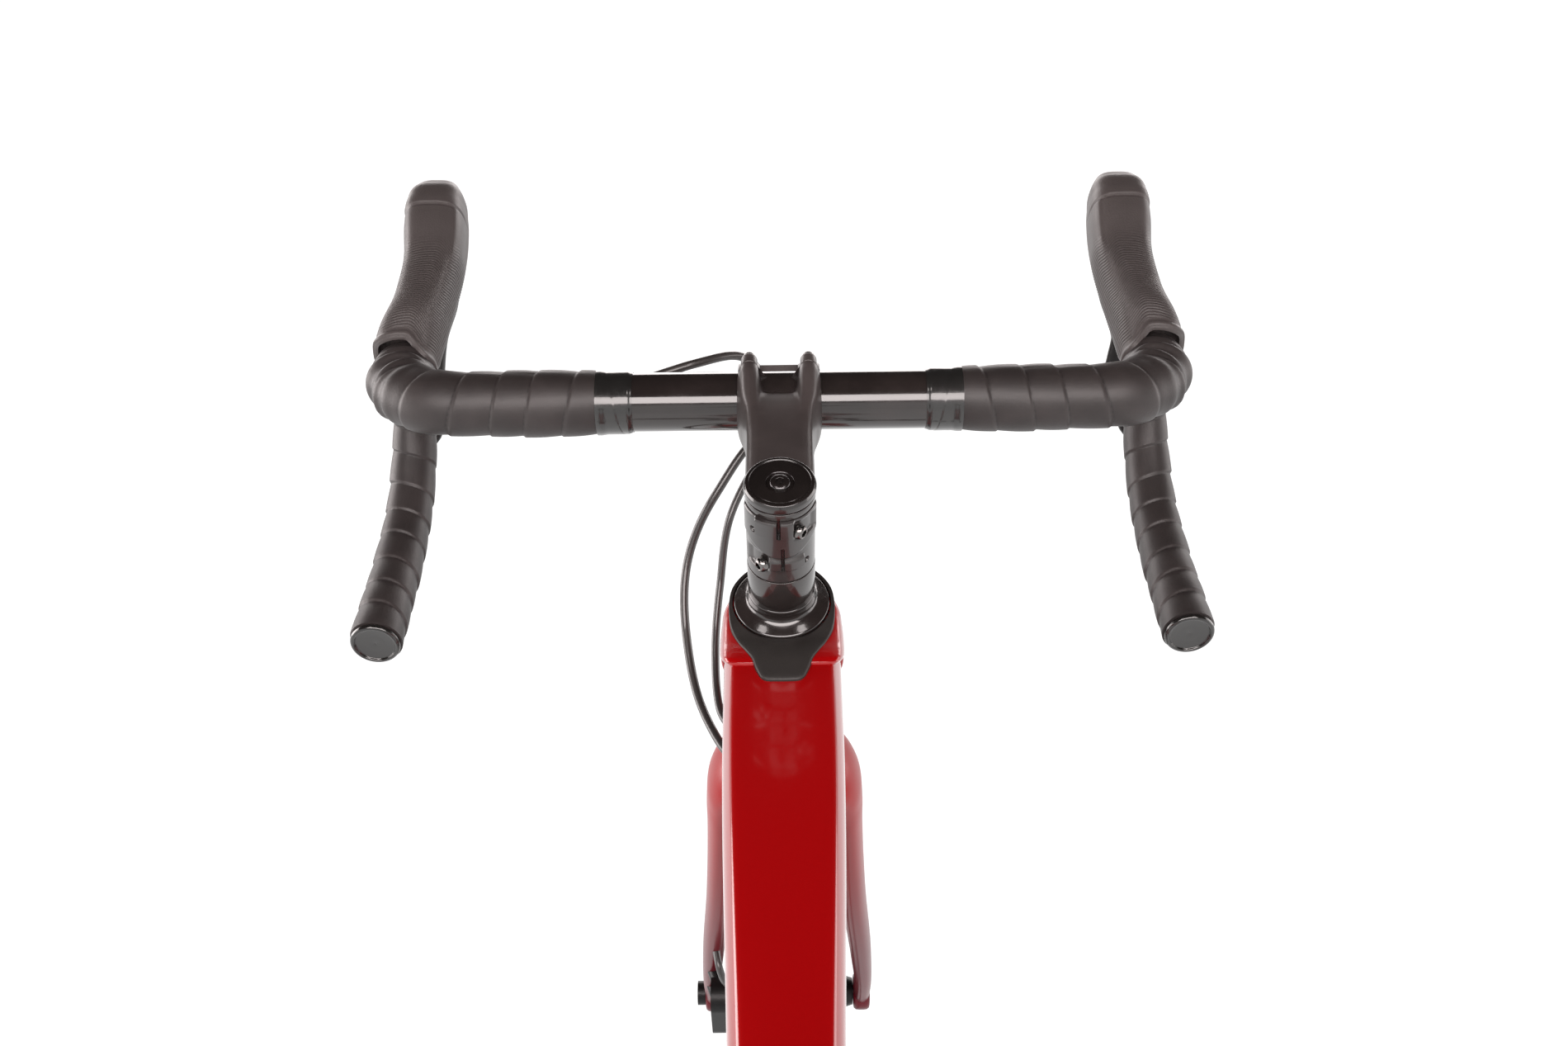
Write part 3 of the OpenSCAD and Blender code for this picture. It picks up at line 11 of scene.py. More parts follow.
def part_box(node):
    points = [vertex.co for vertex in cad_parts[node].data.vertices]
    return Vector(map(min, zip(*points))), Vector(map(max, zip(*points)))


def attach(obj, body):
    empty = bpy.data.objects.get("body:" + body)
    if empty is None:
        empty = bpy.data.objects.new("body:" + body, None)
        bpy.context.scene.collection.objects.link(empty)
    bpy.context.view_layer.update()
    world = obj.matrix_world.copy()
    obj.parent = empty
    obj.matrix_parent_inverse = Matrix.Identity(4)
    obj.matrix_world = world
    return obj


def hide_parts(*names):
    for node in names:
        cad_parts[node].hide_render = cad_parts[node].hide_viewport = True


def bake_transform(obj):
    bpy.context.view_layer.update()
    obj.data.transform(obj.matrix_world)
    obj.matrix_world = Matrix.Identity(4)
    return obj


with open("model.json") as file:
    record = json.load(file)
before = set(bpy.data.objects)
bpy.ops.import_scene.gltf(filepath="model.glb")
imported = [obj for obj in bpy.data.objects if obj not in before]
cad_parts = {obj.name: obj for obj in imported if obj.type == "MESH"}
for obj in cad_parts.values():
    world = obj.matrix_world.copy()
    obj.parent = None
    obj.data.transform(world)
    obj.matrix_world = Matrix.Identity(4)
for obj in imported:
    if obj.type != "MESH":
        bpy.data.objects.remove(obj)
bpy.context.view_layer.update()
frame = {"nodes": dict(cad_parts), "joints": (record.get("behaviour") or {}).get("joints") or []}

bl_info = {
    "name": "Drop-bar bicycle",
    "version": (1, 0, 0),
    "blender": (4, 5, 0),
    "location": "View3D > Sidebar > Bicycle",
    "description": "Builds the surfaces and finishes of a drop-bar bicycle over its CAD frame",
    "category": "Object",
}

# Places, in millimetres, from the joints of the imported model
MM = 0.001
JOINT = {joint["name"]: joint for joint in frame["joints"]}


def pivot(name):
    """A joint's place."""
    return np.array(JOINT[name]["pos_m"]) / MM


RIGHT, FORWARD, UP = np.eye(3)
HEAD = pivot("steering")
STEER = np.array(JOINT["steering"]["axis"])
AHEAD = np.cross(STEER, RIGHT)
CRANK = pivot("crank_spin") * [0, 1, 1]
REAR = pivot("rear_wheel_spin")
FRONT = pivot("front_wheel_spin")
LEVER_FROM_BAR = [209, 170, 15]
BAR = (pivot("brake_lever_right") - LEVER_FROM_BAR) * [0, 1, 1]
SEAT_ANGLE = math.radians(74)
SEAT_DIR = np.array([0.0, -math.cos(SEAT_ANGLE), math.sin(SEAT_ANGLE)])

# Wheels stand on the floor, so the axle's height is the radius
WHEEL_R = REAR[2]
AXLE_BORE = 6.2

# Frame: the head tube's lower end on the steering axis, and the radii that other tubes run up to
HEAD_LOW = -118.0
HEAD_WAIST_R = 23.4
SEAT_TUBE_R = 16.4
CRANK_SHELL_R = 22.6

# Steering: bore of the pieces on the steerer, the stem's height, length and tilt, and its clamp's ends
STEERER_BORE = 14.4
STEM_UP, STEM_LONG = 64.5, 101.0
STEM_TILT = math.radians(7)
CLAMP_LOW, CLAMP_HIGH = 36.05, 81.0

# Bar: radius in the stem and at the grips, and the hoods' distance from the middle
BAR_R, GRIP_R = 15.9, 11.9
HOOD_X = 208.0

# Points round a frame tube, and round a piece on the steerer
TUBE_SIDES = 200
STEERER_SIDES = 160


def steer(local):
    """Points given sideways, ahead and up along the steering axis, put into the model."""
    local = np.asarray(local, float)
    return HEAD + local[..., :1] * RIGHT + local[..., 1:2] * AHEAD + local[..., 2:] * STEER


def stem_place(local):
    """Points given sideways, out along the stem and up from its axis, put into the model."""
    x, q, h = np.moveaxis(np.asarray(local, float), -1, 0)
    c, s = math.cos(STEM_TILT), math.sin(STEM_TILT)
    return steer(np.stack([x, q * c + h * s, STEM_UP - q * s + h * c], -1))


def seat_place(along):
    """The point at a distance along the seat tube from the crank's axis."""
    return CRANK + SEAT_DIR * along


TOP_TUBE_HEAD, TOP_TUBE_SEAT = steer([0, 0, -24]), seat_place(470)
DOWN_TUBE_HEAD = steer([0, 0, -82])


# Lines and sections, worked out as whole arrays
def unit(v):
    """Vectors over their lengths."""
    return v / np.linalg.norm(v, axis=-1, keepdims=True)


def ease(x, low, high):
    """0 below low, 1 above high, and 3t^2 - 2t^3 between them."""
    t = np.clip((np.asarray(x, float) - low) / (high - low), 0, 1)
    return t * t * (3 - 2 * t)


def window(x, start, full, fade, end):
    """0 up to start, 1 from full to fade, 0 past end, and eased between them."""
    return ease(x, start, full) * (1 - ease(x, fade, end))


def bump(x, middle, half):
    """A hump of height 1: the square of 1 - ((x - middle) / half)^2, and 0 outside."""
    return np.clip(1 - ((np.asarray(x, float) - middle) / half) ** 2, 0, None) ** 2


def turn(count):
    """Even angles round a circle."""
    return np.arange(count) * 2 * np.pi / count


def smooth_line(points, steps):
    """A cubic for each span, which leaves and meets its ends along their neighbours' chords."""
    p = np.asarray(points, float)
    q = np.concatenate([p[:1], p, p[-1:]])
    a, b, c, d = (q[i : len(q) - 3 + i, None] for i in range(4))
    t = (np.arange(steps) / steps)[None, :, None]
    line = b + 0.5 * t * (c - a + t * (2 * a - 5 * b + 4 * c - d + t * (3 * (b - c) + d - a)))
    return np.concatenate([line.reshape(-1, p.shape[1]), p[-1:]])


def through(keys, values, at):
    """Cubic pieces through values at keys, with the slope at a key that of its neighbours."""
    k, v, at = np.asarray(keys, float), np.asarray(values, float), np.asarray(at, float)
    slope = np.gradient(v, k, axis=0)
    i = np.clip(np.searchsorted(k, at, side="right") - 1, 0, len(k) - 2)
    h = k[i + 1] - k[i]
    t = (np.clip(at, k[0], k[-1]) - k[i]) / h
    extra = (...,) + (None,) * (v.ndim - 1)
    t, h = t[extra], h[extra]
    return (
        v[i] * (1 + 2 * t) * (1 - t) ** 2
        + v[i + 1] * t * t * (3 - 2 * t)
        + h * slope[i] * t * (1 - t) ** 2
        + h * slope[i + 1] * t * t * (t - 1)
    )


def travel(line):
    """Distance along a line at each of its points."""
    return np.concatenate([[0], np.cumsum(np.linalg.norm(np.diff(line, axis=0), axis=1))])


def drawn(rows, count):
    """Rows of a centre and its sizes, smoothed and taken at even steps along the centres."""
    rows = np.asarray(rows, float)
    keys = travel(rows[:, :3])
    return through(keys, rows, np.linspace(0, keys[-1], count))


def even(line, step):
    """The same line with points a step apart."""
    s = travel(line)
    at = np.linspace(0, s[-1], max(4, int(round(s[-1] / step)) + 1))
    return np.stack([np.interp(at, s, column) for column in line.T], 1)


def carried(line, first):
    """Direction, side and third axis at each point; the side is carried along without twist."""
    t = unit(np.gradient(line, axis=0))
    side = np.empty_like(line)
    v = np.asarray(first, float)
    for i, d in enumerate(t):
        v = v - v.dot(d) * d
        v = v / np.linalg.norm(v)
        side[i] = v
    return t, side, np.cross(t, side)


def facing(line, hint):
    """Direction, side and third axis at each point; the side is the hint made square to the line."""
    t = unit(np.gradient(line, axis=0))
    hint = np.broadcast_to(np.asarray(hint, float), line.shape)
    side = unit(hint - (hint * t).sum(-1, keepdims=True) * t)
    return t, side, np.cross(t, side)


def sweep(line, u, v, across, along):
    """Rings on a line: its point plus u times the first offset plus v times the second."""
    u, v = (np.broadcast_to(w, line.shape)[:, None] for w in (u, v))
    return line[:, None] + u * np.asarray(across)[..., None] + v * np.asarray(along)[..., None]


def pipe(line, radius, sides, first=(0.3, 0.2, 1)):
    """A round tube: at each point a circle of that radius square to the line."""
    _, side, third = carried(line, first)
    a = turn(sides)
    r = np.broadcast_to(radius, len(line))[:, None]
    return sweep(line, side, third, r * np.cos(a), r * np.sin(a))


def oval(count, power):
    """A rounded box of half size 1: cosine and sine raised to 2 over the power, signs kept."""
    a = turn(count)
    c, s = np.cos(a), np.sin(a)
    return (
        np.sign(c) * np.abs(c) ** (2 / power),
        np.sign(s) * np.abs(s) ** (2 / power),
    )


def soft_box(corners, count, sharp):
    """A mirrored polygon with soft corners: along each direction, the share of the way to each
    edge is raised to a power and summed, and the radius is that sum's negative root."""
    half = np.asarray(corners, float)
    v = np.concatenate([half, half[::-1] * [-1, 1]])
    e = np.roll(v, -1, 0) - v
    n = np.stack([e[:, 1], -e[:, 0]], 1)
    n = n / (n * v).sum(1, keepdims=True)
    a = turn(count)
    share = np.clip(np.outer(np.cos(a), n[:, 0]) + np.outer(np.sin(a), n[:, 1]), 0, None)
    r = (share**sharp).sum(1) ** (-1 / sharp)
    return r * np.cos(a), r * np.sin(a)


def square_to(w, axis):
    """What is left of vectors after their part along an axis."""
    return w - (w @ axis)[..., None] * axis


def meet(points, direction, centre, axis, radius):
    """Points slid along a direction to the near side of a cylinder: the smaller root of the
    quadratic for the distance from its axis, or the nearest approach where there is none."""
    d, w = square_to(direction, axis), square_to(points - centre, axis)
    a, b, c = d @ d, (w * d).sum(-1), (w * w).sum(-1) - radius**2
    s = (-b - np.sqrt(np.clip(b * b - a * c, 0, None))) / a
    return points + s[..., None] * direction


def off_axis(points, centre, axis, radius):
    """Points nearer than radius to an axis, pushed straight out to that radius."""
    out = square_to(points - centre, axis)
    r = np.linalg.norm(out, axis=-1, keepdims=True)
    return points + out * np.maximum(0, radius / np.maximum(r, 1e-6) - 1)


def lathe(profile, sides, centre, axis, first):
    """A profile of radius and height turned round an axis."""
    profile = np.asarray(profile, float)
    side = unit(np.cross(np.cross(axis, first), axis))
    third = np.cross(axis, side)
    a = turn(sides)[None, :, None]
    return (
        np.asarray(centre)
        + profile[:, 1, None, None] * axis
        + profile[:, 0, None, None] * (np.cos(a) * side + np.sin(a) * third)
    )


def rounded(profile, radius, steps=4):
    """A closed profile with each corner cut by a curve: from a point on one side to one on the
    other, weighted by (1 - t)^2 and t^2, with the corner weighted by 2t(1 - t)."""
    p = np.asarray(profile, float)
    back, ahead = np.roll(p, 1, 0) - p, np.roll(p, -1, 0) - p
    lb, la = (np.linalg.norm(w, axis=1, keepdims=True) for w in (back, ahead))
    cut_b, cut_a = np.minimum(radius, lb * 0.45), np.minimum(radius, la * 0.45)
    t = np.linspace(0, 1, steps)[None, :, None]
    a, b = (p + back / lb * cut_b)[:, None], (p + ahead / la * cut_a)[:, None]
    return (a * (1 - t) ** 2 + 2 * p[:, None] * t * (1 - t) + b * t * t).reshape(-1, 2)


def sleeve(inner, outer, low, high, edge):
    """The profile of a plain ring: a box of radius and height with rounded edges."""
    return rounded([[inner, low], [outer, low], [outer, high], [inner, high]], edge)


def mirrored(rings):
    """The same points on the other side of the bicycle's middle plane."""
    return rings * [-1, 1, 1]


class Shell:
    """Collects grids of points, in millimetres, into one mesh, with a mark on each point."""

    def __init__(self):
        self.points, self.faces, self.marks, self.count = [], [], [], 0

    def add(self, points, faces, mark):
        """Points, and faces that count from the first of them."""
        points = np.asarray(points, float).reshape(-1, 3)
        self.points.append(points)
        self.marks.append(np.broadcast_to(np.asarray(mark, float).ravel(), len(points)))
        self.faces += [(f + self.count).tolist() for f in faces if len(f)]
        self.count += len(points)

    def grid(self, rings, ends=True, loop=False, mark=0.0):
        """Quads between the neighbours of a rows by columns array that is closed round its columns.
        loop joins the last row to the first; ends closes the end rows with a fan each."""
        rows, columns = rings.shape[:2]
        index = np.arange(rows * columns).reshape(rows, columns)
        wide = np.concatenate([index, index[:, :1]], 1)
        if loop:
            wide = np.concatenate([wide, wide[:1]], 0)
        quads = np.stack([wide[:-1, :-1], wide[1:, :-1], wide[1:, 1:], wide[:-1, 1:]], -1)
        points, faces = rings.reshape(-1, 3), [quads.reshape(-1, 4)]
        mark = np.broadcast_to(mark, rings.shape[:2]).ravel()
        if ends and not loop:
            points = np.concatenate([points, rings[[0, -1]].mean(1)])
            mark = np.concatenate([mark, mark[[0, -1]]])
            for hub, edge in ((rows * columns, wide[0]), (rows * columns + 1, wide[-1])):
                faces.append(np.stack([np.full(columns, hub), edge[1:], edge[:-1]], 1))
        self.add(points, faces, mark)
        return self

    def pair(self, rings, **how):
        """The same grid on the right and, mirrored, on the left."""
        return self.grid(rings, **how).grid(mirrored(rings), **how)

    def piece(self, name, paint, body, stands_for=(), slot=None, crease=40):
        """One object at the origin, its faces turned outwards and smooth up to the crease angle."""
        mesh = bpy.data.meshes.new(name)
        faces = [tuple(f) for group in self.faces for f in group]
        mesh.from_pydata((np.concatenate(self.points) * MM).tolist(), [], faces)
        mark = mesh.attributes.new("mark", "FLOAT", "POINT")
        mark.data.foreach_set("value", np.concatenate(self.marks).astype(np.float32))
        work = bmesh.new()
        work.from_mesh(mesh)
        bmesh.ops.remove_doubles(work, verts=work.verts, dist=1e-6)
        bmesh.ops.recalc_face_normals(work, faces=work.faces)
        work.to_mesh(mesh)
        work.free()
        mesh.shade_smooth()
        mesh.set_sharp_from_angle(angle=math.radians(crease))
        mesh.materials.append(PAINTS[paint])
        made = bpy.data.objects.new(name, mesh)
        bpy.context.scene.collection.objects.link(made)
        if body:
            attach(made, body)
        if stands_for:
            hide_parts(*stands_for)
        return made


# Finishes
class Value:
    """A socket of a node tree; arithmetic on it adds Math nodes."""

    def __init__(self, paint, socket):
        self.paint, self.socket = paint, socket

    def math(self, operation, *others):
        """A Math node on this value and others."""
        inputs = dict(enumerate((self,) + others))
        return self.paint.node("ShaderNodeMath", {"operation": operation}, inputs)

    def __add__(self, other):
        return self.math("ADD", other)

    __radd__ = __add__

    def __sub__(self, other):
        return self.math("SUBTRACT", other)

    def __rsub__(self, other):
        return self.paint.node("ShaderNodeMath", {"operation": "SUBTRACT"}, {0: other, 1: self})

    def __mul__(self, other):
        return self.math("MULTIPLY", other)

    __rmul__ = __mul__

    def between(self, low, high):
        """0 at low, 1 at high, smooth between them."""
        return self.paint.node(
            "ShaderNodeMapRange",
            {"interpolation_type": "SMOOTHSTEP"},
            {"Value": self, "From Min": low, "From Max": high},
        )


class Paint:
    """A node tree under way: node() adds any node, surface() ends a material."""

    SOCKETS = {
        name.replace(" ", "_").lower(): name
        for name in ("Base Color", "Roughness", "Metallic", "Coat Weight", "Coat Roughness",
                     "Normal", "IOR", "Specular IOR Level")
    }

    def __init__(self, name, tree=None):
        if not tree:
            self.material = bpy.data.materials.new(name)
            self.material.use_nodes = True
            tree = self.material.node_tree
            tree.nodes.clear()
        self.tree = tree

    def node(self, kind, settings=None, inputs=None, out=0):
        """Any node: its type, its settings, then the values or links of its inputs."""
        made = self.tree.nodes.new(kind)
        for key, value in (settings or {}).items():
            setattr(made, key, value)
        for key, value in (inputs or {}).items():
            if isinstance(value, Value):
                self.tree.links.new(value.socket, made.inputs[key])
            else:
                made.inputs[key].default_value = value
        return Value(self, made.outputs[out]) if made.outputs else None

    def place(self):
        """Object coordinates."""
        return self.node("ShaderNodeTexCoord", out=3)

    def mark(self):
        """The mark that the shell left on each point."""
        return self.node("ShaderNodeAttribute", {"attribute_name": "mark"}, out=2)

    def noise(self, scale, detail=3.0, rough=0.5, where=None):
        """Cloud-like noise from 0 to 1."""
        inputs = {"Scale": scale, "Detail": detail, "Roughness": rough}
        inputs["Vector"] = where or self.place()
        return self.node("ShaderNodeTexNoise", None, inputs)

    def cells(self, scale, feature="F1"):
        """Distance to the nearest cell point, or to the cell edge."""
        inputs = {"Vector": self.place(), "Scale": scale}
        return self.node("ShaderNodeTexVoronoi", {"feature": feature}, inputs)

    def height(self):
        """Height over the floor, in metres."""
        return self.node("ShaderNodeSeparateXYZ", None, {0: self.place()}, out=2)

    def tint(self, factor, first, second):
        """The first colour where the factor is 0, the second where it is 1."""
        inputs = {0: factor, 6: first, 7: second}
        return self.node("ShaderNodeMix", {"data_type": "RGBA"}, inputs, out=2)

    def relief(self, height, strength, distance, under=None):
        """A normal bent by a height, on top of another normal if one is given."""
        inputs = {"Height": height, "Strength": strength, "Distance": distance}
        if under:
            inputs["Normal"] = under
        return self.node("ShaderNodeBump", None, inputs)

    def surface(self, **sockets):
        """The closing shader, its sockets named in lower case."""
        inputs = {self.SOCKETS[key]: value for key, value in sockets.items()}
        shader = self.node("ShaderNodeBsdfPrincipled", None, inputs)
        self.node("ShaderNodeOutputMaterial", None, {"Surface": shader})
        return self.material


def shade(colour, share=1.0):
    """A colour made darker or paler by a share, with its alpha."""
    return tuple(part * share for part in colour[:3]) + (1.0,)


# Heights, in metres, between which the fork's colour fades
FADE_HIGH, FADE_LOW = 0.7, 0.42


def lacquer(name, top, coat, shine, low=None):
    """Clear-coated paint: fine flake lightens points, a slow wave stands for the coat's flow, and
    the colour goes from top to low as the height in metres falls."""
    p = Paint(name)
    flake = p.noise(2600.0, 1.0).between(0.52, 0.72)
    colour = p.tint(flake * 0.35, shade(top, 0.92), shade(top, 1.15))
    if low:
        dark = p.tint(flake * 0.35, shade(low, 0.9), shade(low, 1.3))
        colour = p.tint(p.height().between(FADE_LOW, FADE_HIGH), dark, colour)
    flow = p.noise(260.0, 2.0)
    return p.surface(
        base_color=colour,
        roughness=0.3 + p.noise(900.0, 2.0) * 0.06,
        normal=p.relief(flow, 0.02, 0.0004),
        coat_weight=coat,
        coat_roughness=0.09,
        specular_ior_level=shine,
        ior=1.45,
    )


def gloss(name, colour, rough, wave=0.03, scale=320.0):
    """Glossy black: a slow wave in the gloss and faint wiping haze in the roughness."""
    p = Paint(name)
    haze = p.noise(38.0, 5.0, 0.6).between(0.35, 0.75)
    return p.surface(
        base_color=p.tint(haze, shade(colour, 0.85), shade(colour, 1.3)),
        roughness=rough + haze * 0.06,
        normal=p.relief(p.noise(scale, 2.0), wave, 0.0005),
        coat_weight=0.6,
        coat_roughness=0.05,
    )


def blasted(name, colour, rough, metal=0.0, grain=2400.0, depth=0.16):
    """Bead-blasted or moulded matte surface: fine grain in the relief, cloudy colour."""
    p = Paint(name)
    cloud = p.noise(30.0, 4.0, 0.6)
    return p.surface(
        base_color=p.tint(cloud.between(0.3, 0.7), shade(colour, 0.84), shade(colour, 1.16)),
        roughness=rough - 0.05 + cloud * 0.1,
        metallic=metal,
        normal=p.relief(p.noise(grain, 2.0), depth, 0.0003),
    )


def rubber(name, colour, rough, pebble, depth, shade_grooves=False):
    """Moulded rubber: pebbles from the distance to cell points, paler dust between them and in
    clouds, and painted shade that darkens the grooves where the mark says."""
    p, dust = Paint(name), 0.25
    cell = p.cells(pebble)
    fine = p.noise(pebble * 2.3, 3.0)
    cloud = p.noise(22.0, 4.0, 0.6).between(0.35, 0.7)
    face = p.tint(cloud * dust + cell * dust * 0.5, shade(colour), shade(colour, 1.55))
    return p.surface(
        # Painted shade: where the mark says, the grooves are darkened towards a deep shade of the colour
        base_color=p.tint(p.mark() * 0.85, face, shade(colour, 0.12)) if shade_grooves else face,
        roughness=rough - 0.06 + cloud * 0.12,
        normal=p.relief(fine, depth * 0.5, 0.0003, p.relief(1 - cell, depth, 0.0004)),
        specular_ior_level=0.35,
    )


def tape_finish(name, colour):
    """Cushioned bar tape: the mark is 0 at a wrap's covered edge and 1 at its free one. The free
    edge is worn paler, the step under it gets painted shade, and the face has cork-like pores."""
    p = Paint(name)
    mark = p.mark()
    worn = mark.between(0.8, 0.96)
    # Painted shade at the foot of the step under each wrap's free edge
    step_shade = 1 - mark.between(0.0, 0.07)
    pores = p.noise(520.0, 4.0, 0.65)
    face = p.tint(p.noise(45.0, 4.0).between(0.3, 0.75), shade(colour, 0.85), shade(colour, 1.25))
    edge = p.tint(worn * 0.3, face, shade(colour, 1.5))
    return p.surface(
        base_color=p.tint(step_shade * 0.7, edge, shade(colour, 0.25)),
        roughness=0.4 + pores * 0.12,
        normal=p.relief(p.cells(950.0), 0.1, 0.0003, p.relief(pores, 0.12, 0.0005)),
        specular_ior_level=0.4,
    )


def turned(name, colour, rough):
    """Machined metal: stretched noise leaves fine lines in relief and gloss."""
    p = Paint(name)
    where = p.node("ShaderNodeMapping", None, {"Vector": p.place(), "Scale": (900.0, 60.0, 60.0)})
    line = p.noise(6.0, 4.0, 0.6, where)
    cloud = p.noise(40.0, 4.0, 0.6)
    return p.surface(
        base_color=p.tint(cloud.between(0.3, 0.75), shade(colour, 0.86), shade(colour, 1.1)),
        metallic=1.0,
        roughness=rough - 0.06 + line * 0.12,
        normal=p.relief(line, 0.14, 0.0002),
    )


def tyre_finish(name, colour):
    """Tread rubber: the mark is 1 on a knob's top and 0 between; tops are scuffed, gaps dusty."""
    p = Paint(name)
    cloud = p.noise(26.0, 4.0, 0.6).between(0.3, 0.75)
    gap = p.tint(cloud, shade(colour, 0.8), shade(colour, 1.5))
    return p.surface(
        base_color=p.tint(p.mark().between(0.3, 0.9), gap, shade(colour, 1.15)),
        roughness=0.72 + cloud * 0.14,
        normal=p.relief(p.noise(900.0, 3.0), 0.3, 0.0004),
        specular_ior_level=0.3,
    )


def hide(name, colour):
    """Saddle cover: leather-like cells in two sizes; the sewn lines, by the mark, are paler."""
    p = Paint(name)
    cell, small = p.cells(620.0, "DISTANCE_TO_EDGE"), p.cells(1500.0)
    seam = p.mark().between(0.3, 0.9)
    face = p.tint(p.noise(24.0, 4.0).between(0.3, 0.7), shade(colour, 0.85), shade(colour, 1.3))
    return p.surface(
        base_color=p.tint(seam, face, shade(colour, 2.6)),
        roughness=0.46 + small * 0.1,
        normal=p.relief(cell.between(0.0, 0.12), 0.25, 0.0003, p.relief(small, 0.1, 0.0002)),
    )


def colour_of(label, use, default):
    """A colour that a user can change, with what it is used for."""
    return bpy.props.FloatVectorProperty(
        name=label, description=use, subtype="COLOR", default=default, min=0, max=1)


def length_of(label, use, default, least, most):
    """A length, in metres, that a user can change."""
    return bpy.props.FloatProperty(
        name=label, description=use, subtype="DISTANCE", unit="LENGTH",
        default=default, min=least, max=most)


class BicycleFinish(bpy.types.PropertyGroup):
    """Colours"""

    frame_red: colour_of("Frame red", "Lacquer of the frame and fork", (0.285, 0.0002, 0.0009))
    fork_tip: colour_of("Fork tip", "Lacquer at the fork's lower end", (0.11, 0.005, 0.011))
    gloss_black: colour_of("Gloss black", "Bar, seatpost, spacers, cover", (0.015, 0.0115, 0.0108))
    matte_black: colour_of("Matte black", "Stem and its face plate", (0.043, 0.035, 0.034))
    rubber_black: colour_of("Rubber black", "Hoods", (0.051, 0.0432, 0.042))
    tape_black: colour_of("Tape black", "Bar tape", (0.024, 0.0195, 0.019))


class BicycleSizes(bpy.types.PropertyGroup):
    """Sizes, in metres"""

    tape_pitch: length_of("Tape pitch", "Length of bar that one wrap of tape covers", 0.02, 0.012, 0.03)
    tape_lip: length_of("Tape lip", "Height of the step at a wrap's free edge", 0.0009, 0.0003, 0.002)
    rib_pitch: length_of("Hood rib pitch", "Spacing of the grip ribs on the hoods", 0.0021, 0.001, 0.004)
    hose_diameter: length_of("Hose diameter", "Outside diameter of a brake hose", 0.005, 0.004, 0.0055)
    tread_pitch: length_of("Tread pitch", "Spacing of the knobs round a tyre", 0.0134, 0.008, 0.03)


PAINTS = {}


def mix_finishes(look):
    """All finishes, by their names in this file: the kind, its colour and its settings."""
    finishes = {
        "frame_red": (lacquer, look.frame_red, dict(coat=1.0, shine=0.2)),
        "fork_fade": (lacquer, look.frame_red, dict(low=look.fork_tip, coat=0.1, shine=0.25)),
        "bar_gloss": (gloss, look.gloss_black, dict(rough=0.12)),
        "cover_gloss": (gloss, look.gloss_black, dict(rough=0.17, wave=0.02)),
        "vinyl": (gloss, (0.012, 0.0115, 0.011), dict(rough=0.2, wave=0.25, scale=140.0)),
        "stem_matte": (blasted, look.matte_black, dict(rough=0.34, depth=0.05)),
        # The clamp is one piece with the stem's body; this darker, glossier copy of the stem's finish is
        # painted shade
        "clamp": (gloss, (0.019, 0.016, 0.0155), dict(rough=0.34, wave=0.02)),
        "cap": (gloss, (0.009, 0.007, 0.0065), dict(rough=0.2, wave=0.02)),
        "screw": (turned, (0.2, 0.19, 0.185), dict(rough=0.2)),
        "bracket": (blasted, (0.014, 0.0135, 0.0135), dict(rough=0.4)),
        "boot": (rubber, (0.018, 0.0155, 0.0145), dict(rough=0.5, pebble=1400.0, depth=0.08)),
        # The hood's grooves between its ribs get painted shade
        "hood": (rubber, look.rubber_black, dict(rough=0.46, pebble=900.0, depth=0.16, shade_grooves=True)),
        "tape": (tape_finish, look.tape_black, {}),
        "tyre": (tyre_finish, (0.016, 0.0155, 0.015), {}),
        "saddle": (hide, (0.016, 0.0155, 0.0155), {}),
        "hose": (gloss, (0.024, 0.0205, 0.0195), dict(rough=0.42, wave=0.05, scale=700.0)),
        "plug": (gloss, (0.009, 0.008, 0.0075), dict(rough=0.16)),
        "lever": (blasted, (0.012, 0.0115, 0.0115), dict(rough=0.36, metal=0.4)),
        "steel": (turned, (0.26, 0.26, 0.265), dict(rough=0.36)),
        "dark_steel": (turned, (0.09, 0.088, 0.086), dict(rough=0.32)),
        "alloy_black": (
            blasted, (0.018, 0.0178, 0.018), dict(rough=0.38, metal=0.7, grain=1800.0, depth=0.08)),
        "alloy_grey": (turned, (0.2, 0.2, 0.207), dict(rough=0.38)),
    }
    for name, (kind, tone, settings) in finishes.items():
        PAINTS[name] = kind(name, tone, **settings)


# Operators
class PieceOperator(bpy.types.Operator):
    """What the operators share"""

    bl_options = {"REGISTER", "UNDO"}

    @property
    def size(self):
        """The sizes that a user can change."""
        return bpy.context.scene.bicycle_sizes


# Camera, in metres and degrees, as solved from the photograph
EYE = (0.0017, -0.42, 1.2559)
EYE_DOWN, EYE_ROLL = 28.53, -0.72
LENS, SENSOR = 37.09, 36.0

# Floor: half size in metres, grey and own light
FLOOR_HALF, FLOOR_GREY, FLOOR_LIGHT = 30.0, 0.12, 1.03

# World: tones low and high, and the heights of direction between which one fades into the other
HORIZON_TONE, ZENITH_TONE = 1.04, 0.02
SKY_LOW, SKY_HIGH = 0.12, 0.36

LAMP_TINT = (1.0, 0.92, 0.905)


def glow(name, place, aim, wide, high, power):
    """A rectangular soft box of light at a place, turned to a point, in metres and watts."""
    lamp = bpy.data.lights.new(name, "AREA")
    lamp.shape, lamp.size, lamp.size_y, lamp.energy = "RECTANGLE", wide, high, power
    lamp.color = LAMP_TINT
    made = bpy.data.objects.new(name, lamp)
    bpy.context.scene.collection.objects.link(made)
    made.location, made.visible_camera = place, False
    made.rotation_euler = (Vector(aim) - Vector(place)).to_track_quat("-Z", "Y").to_euler()


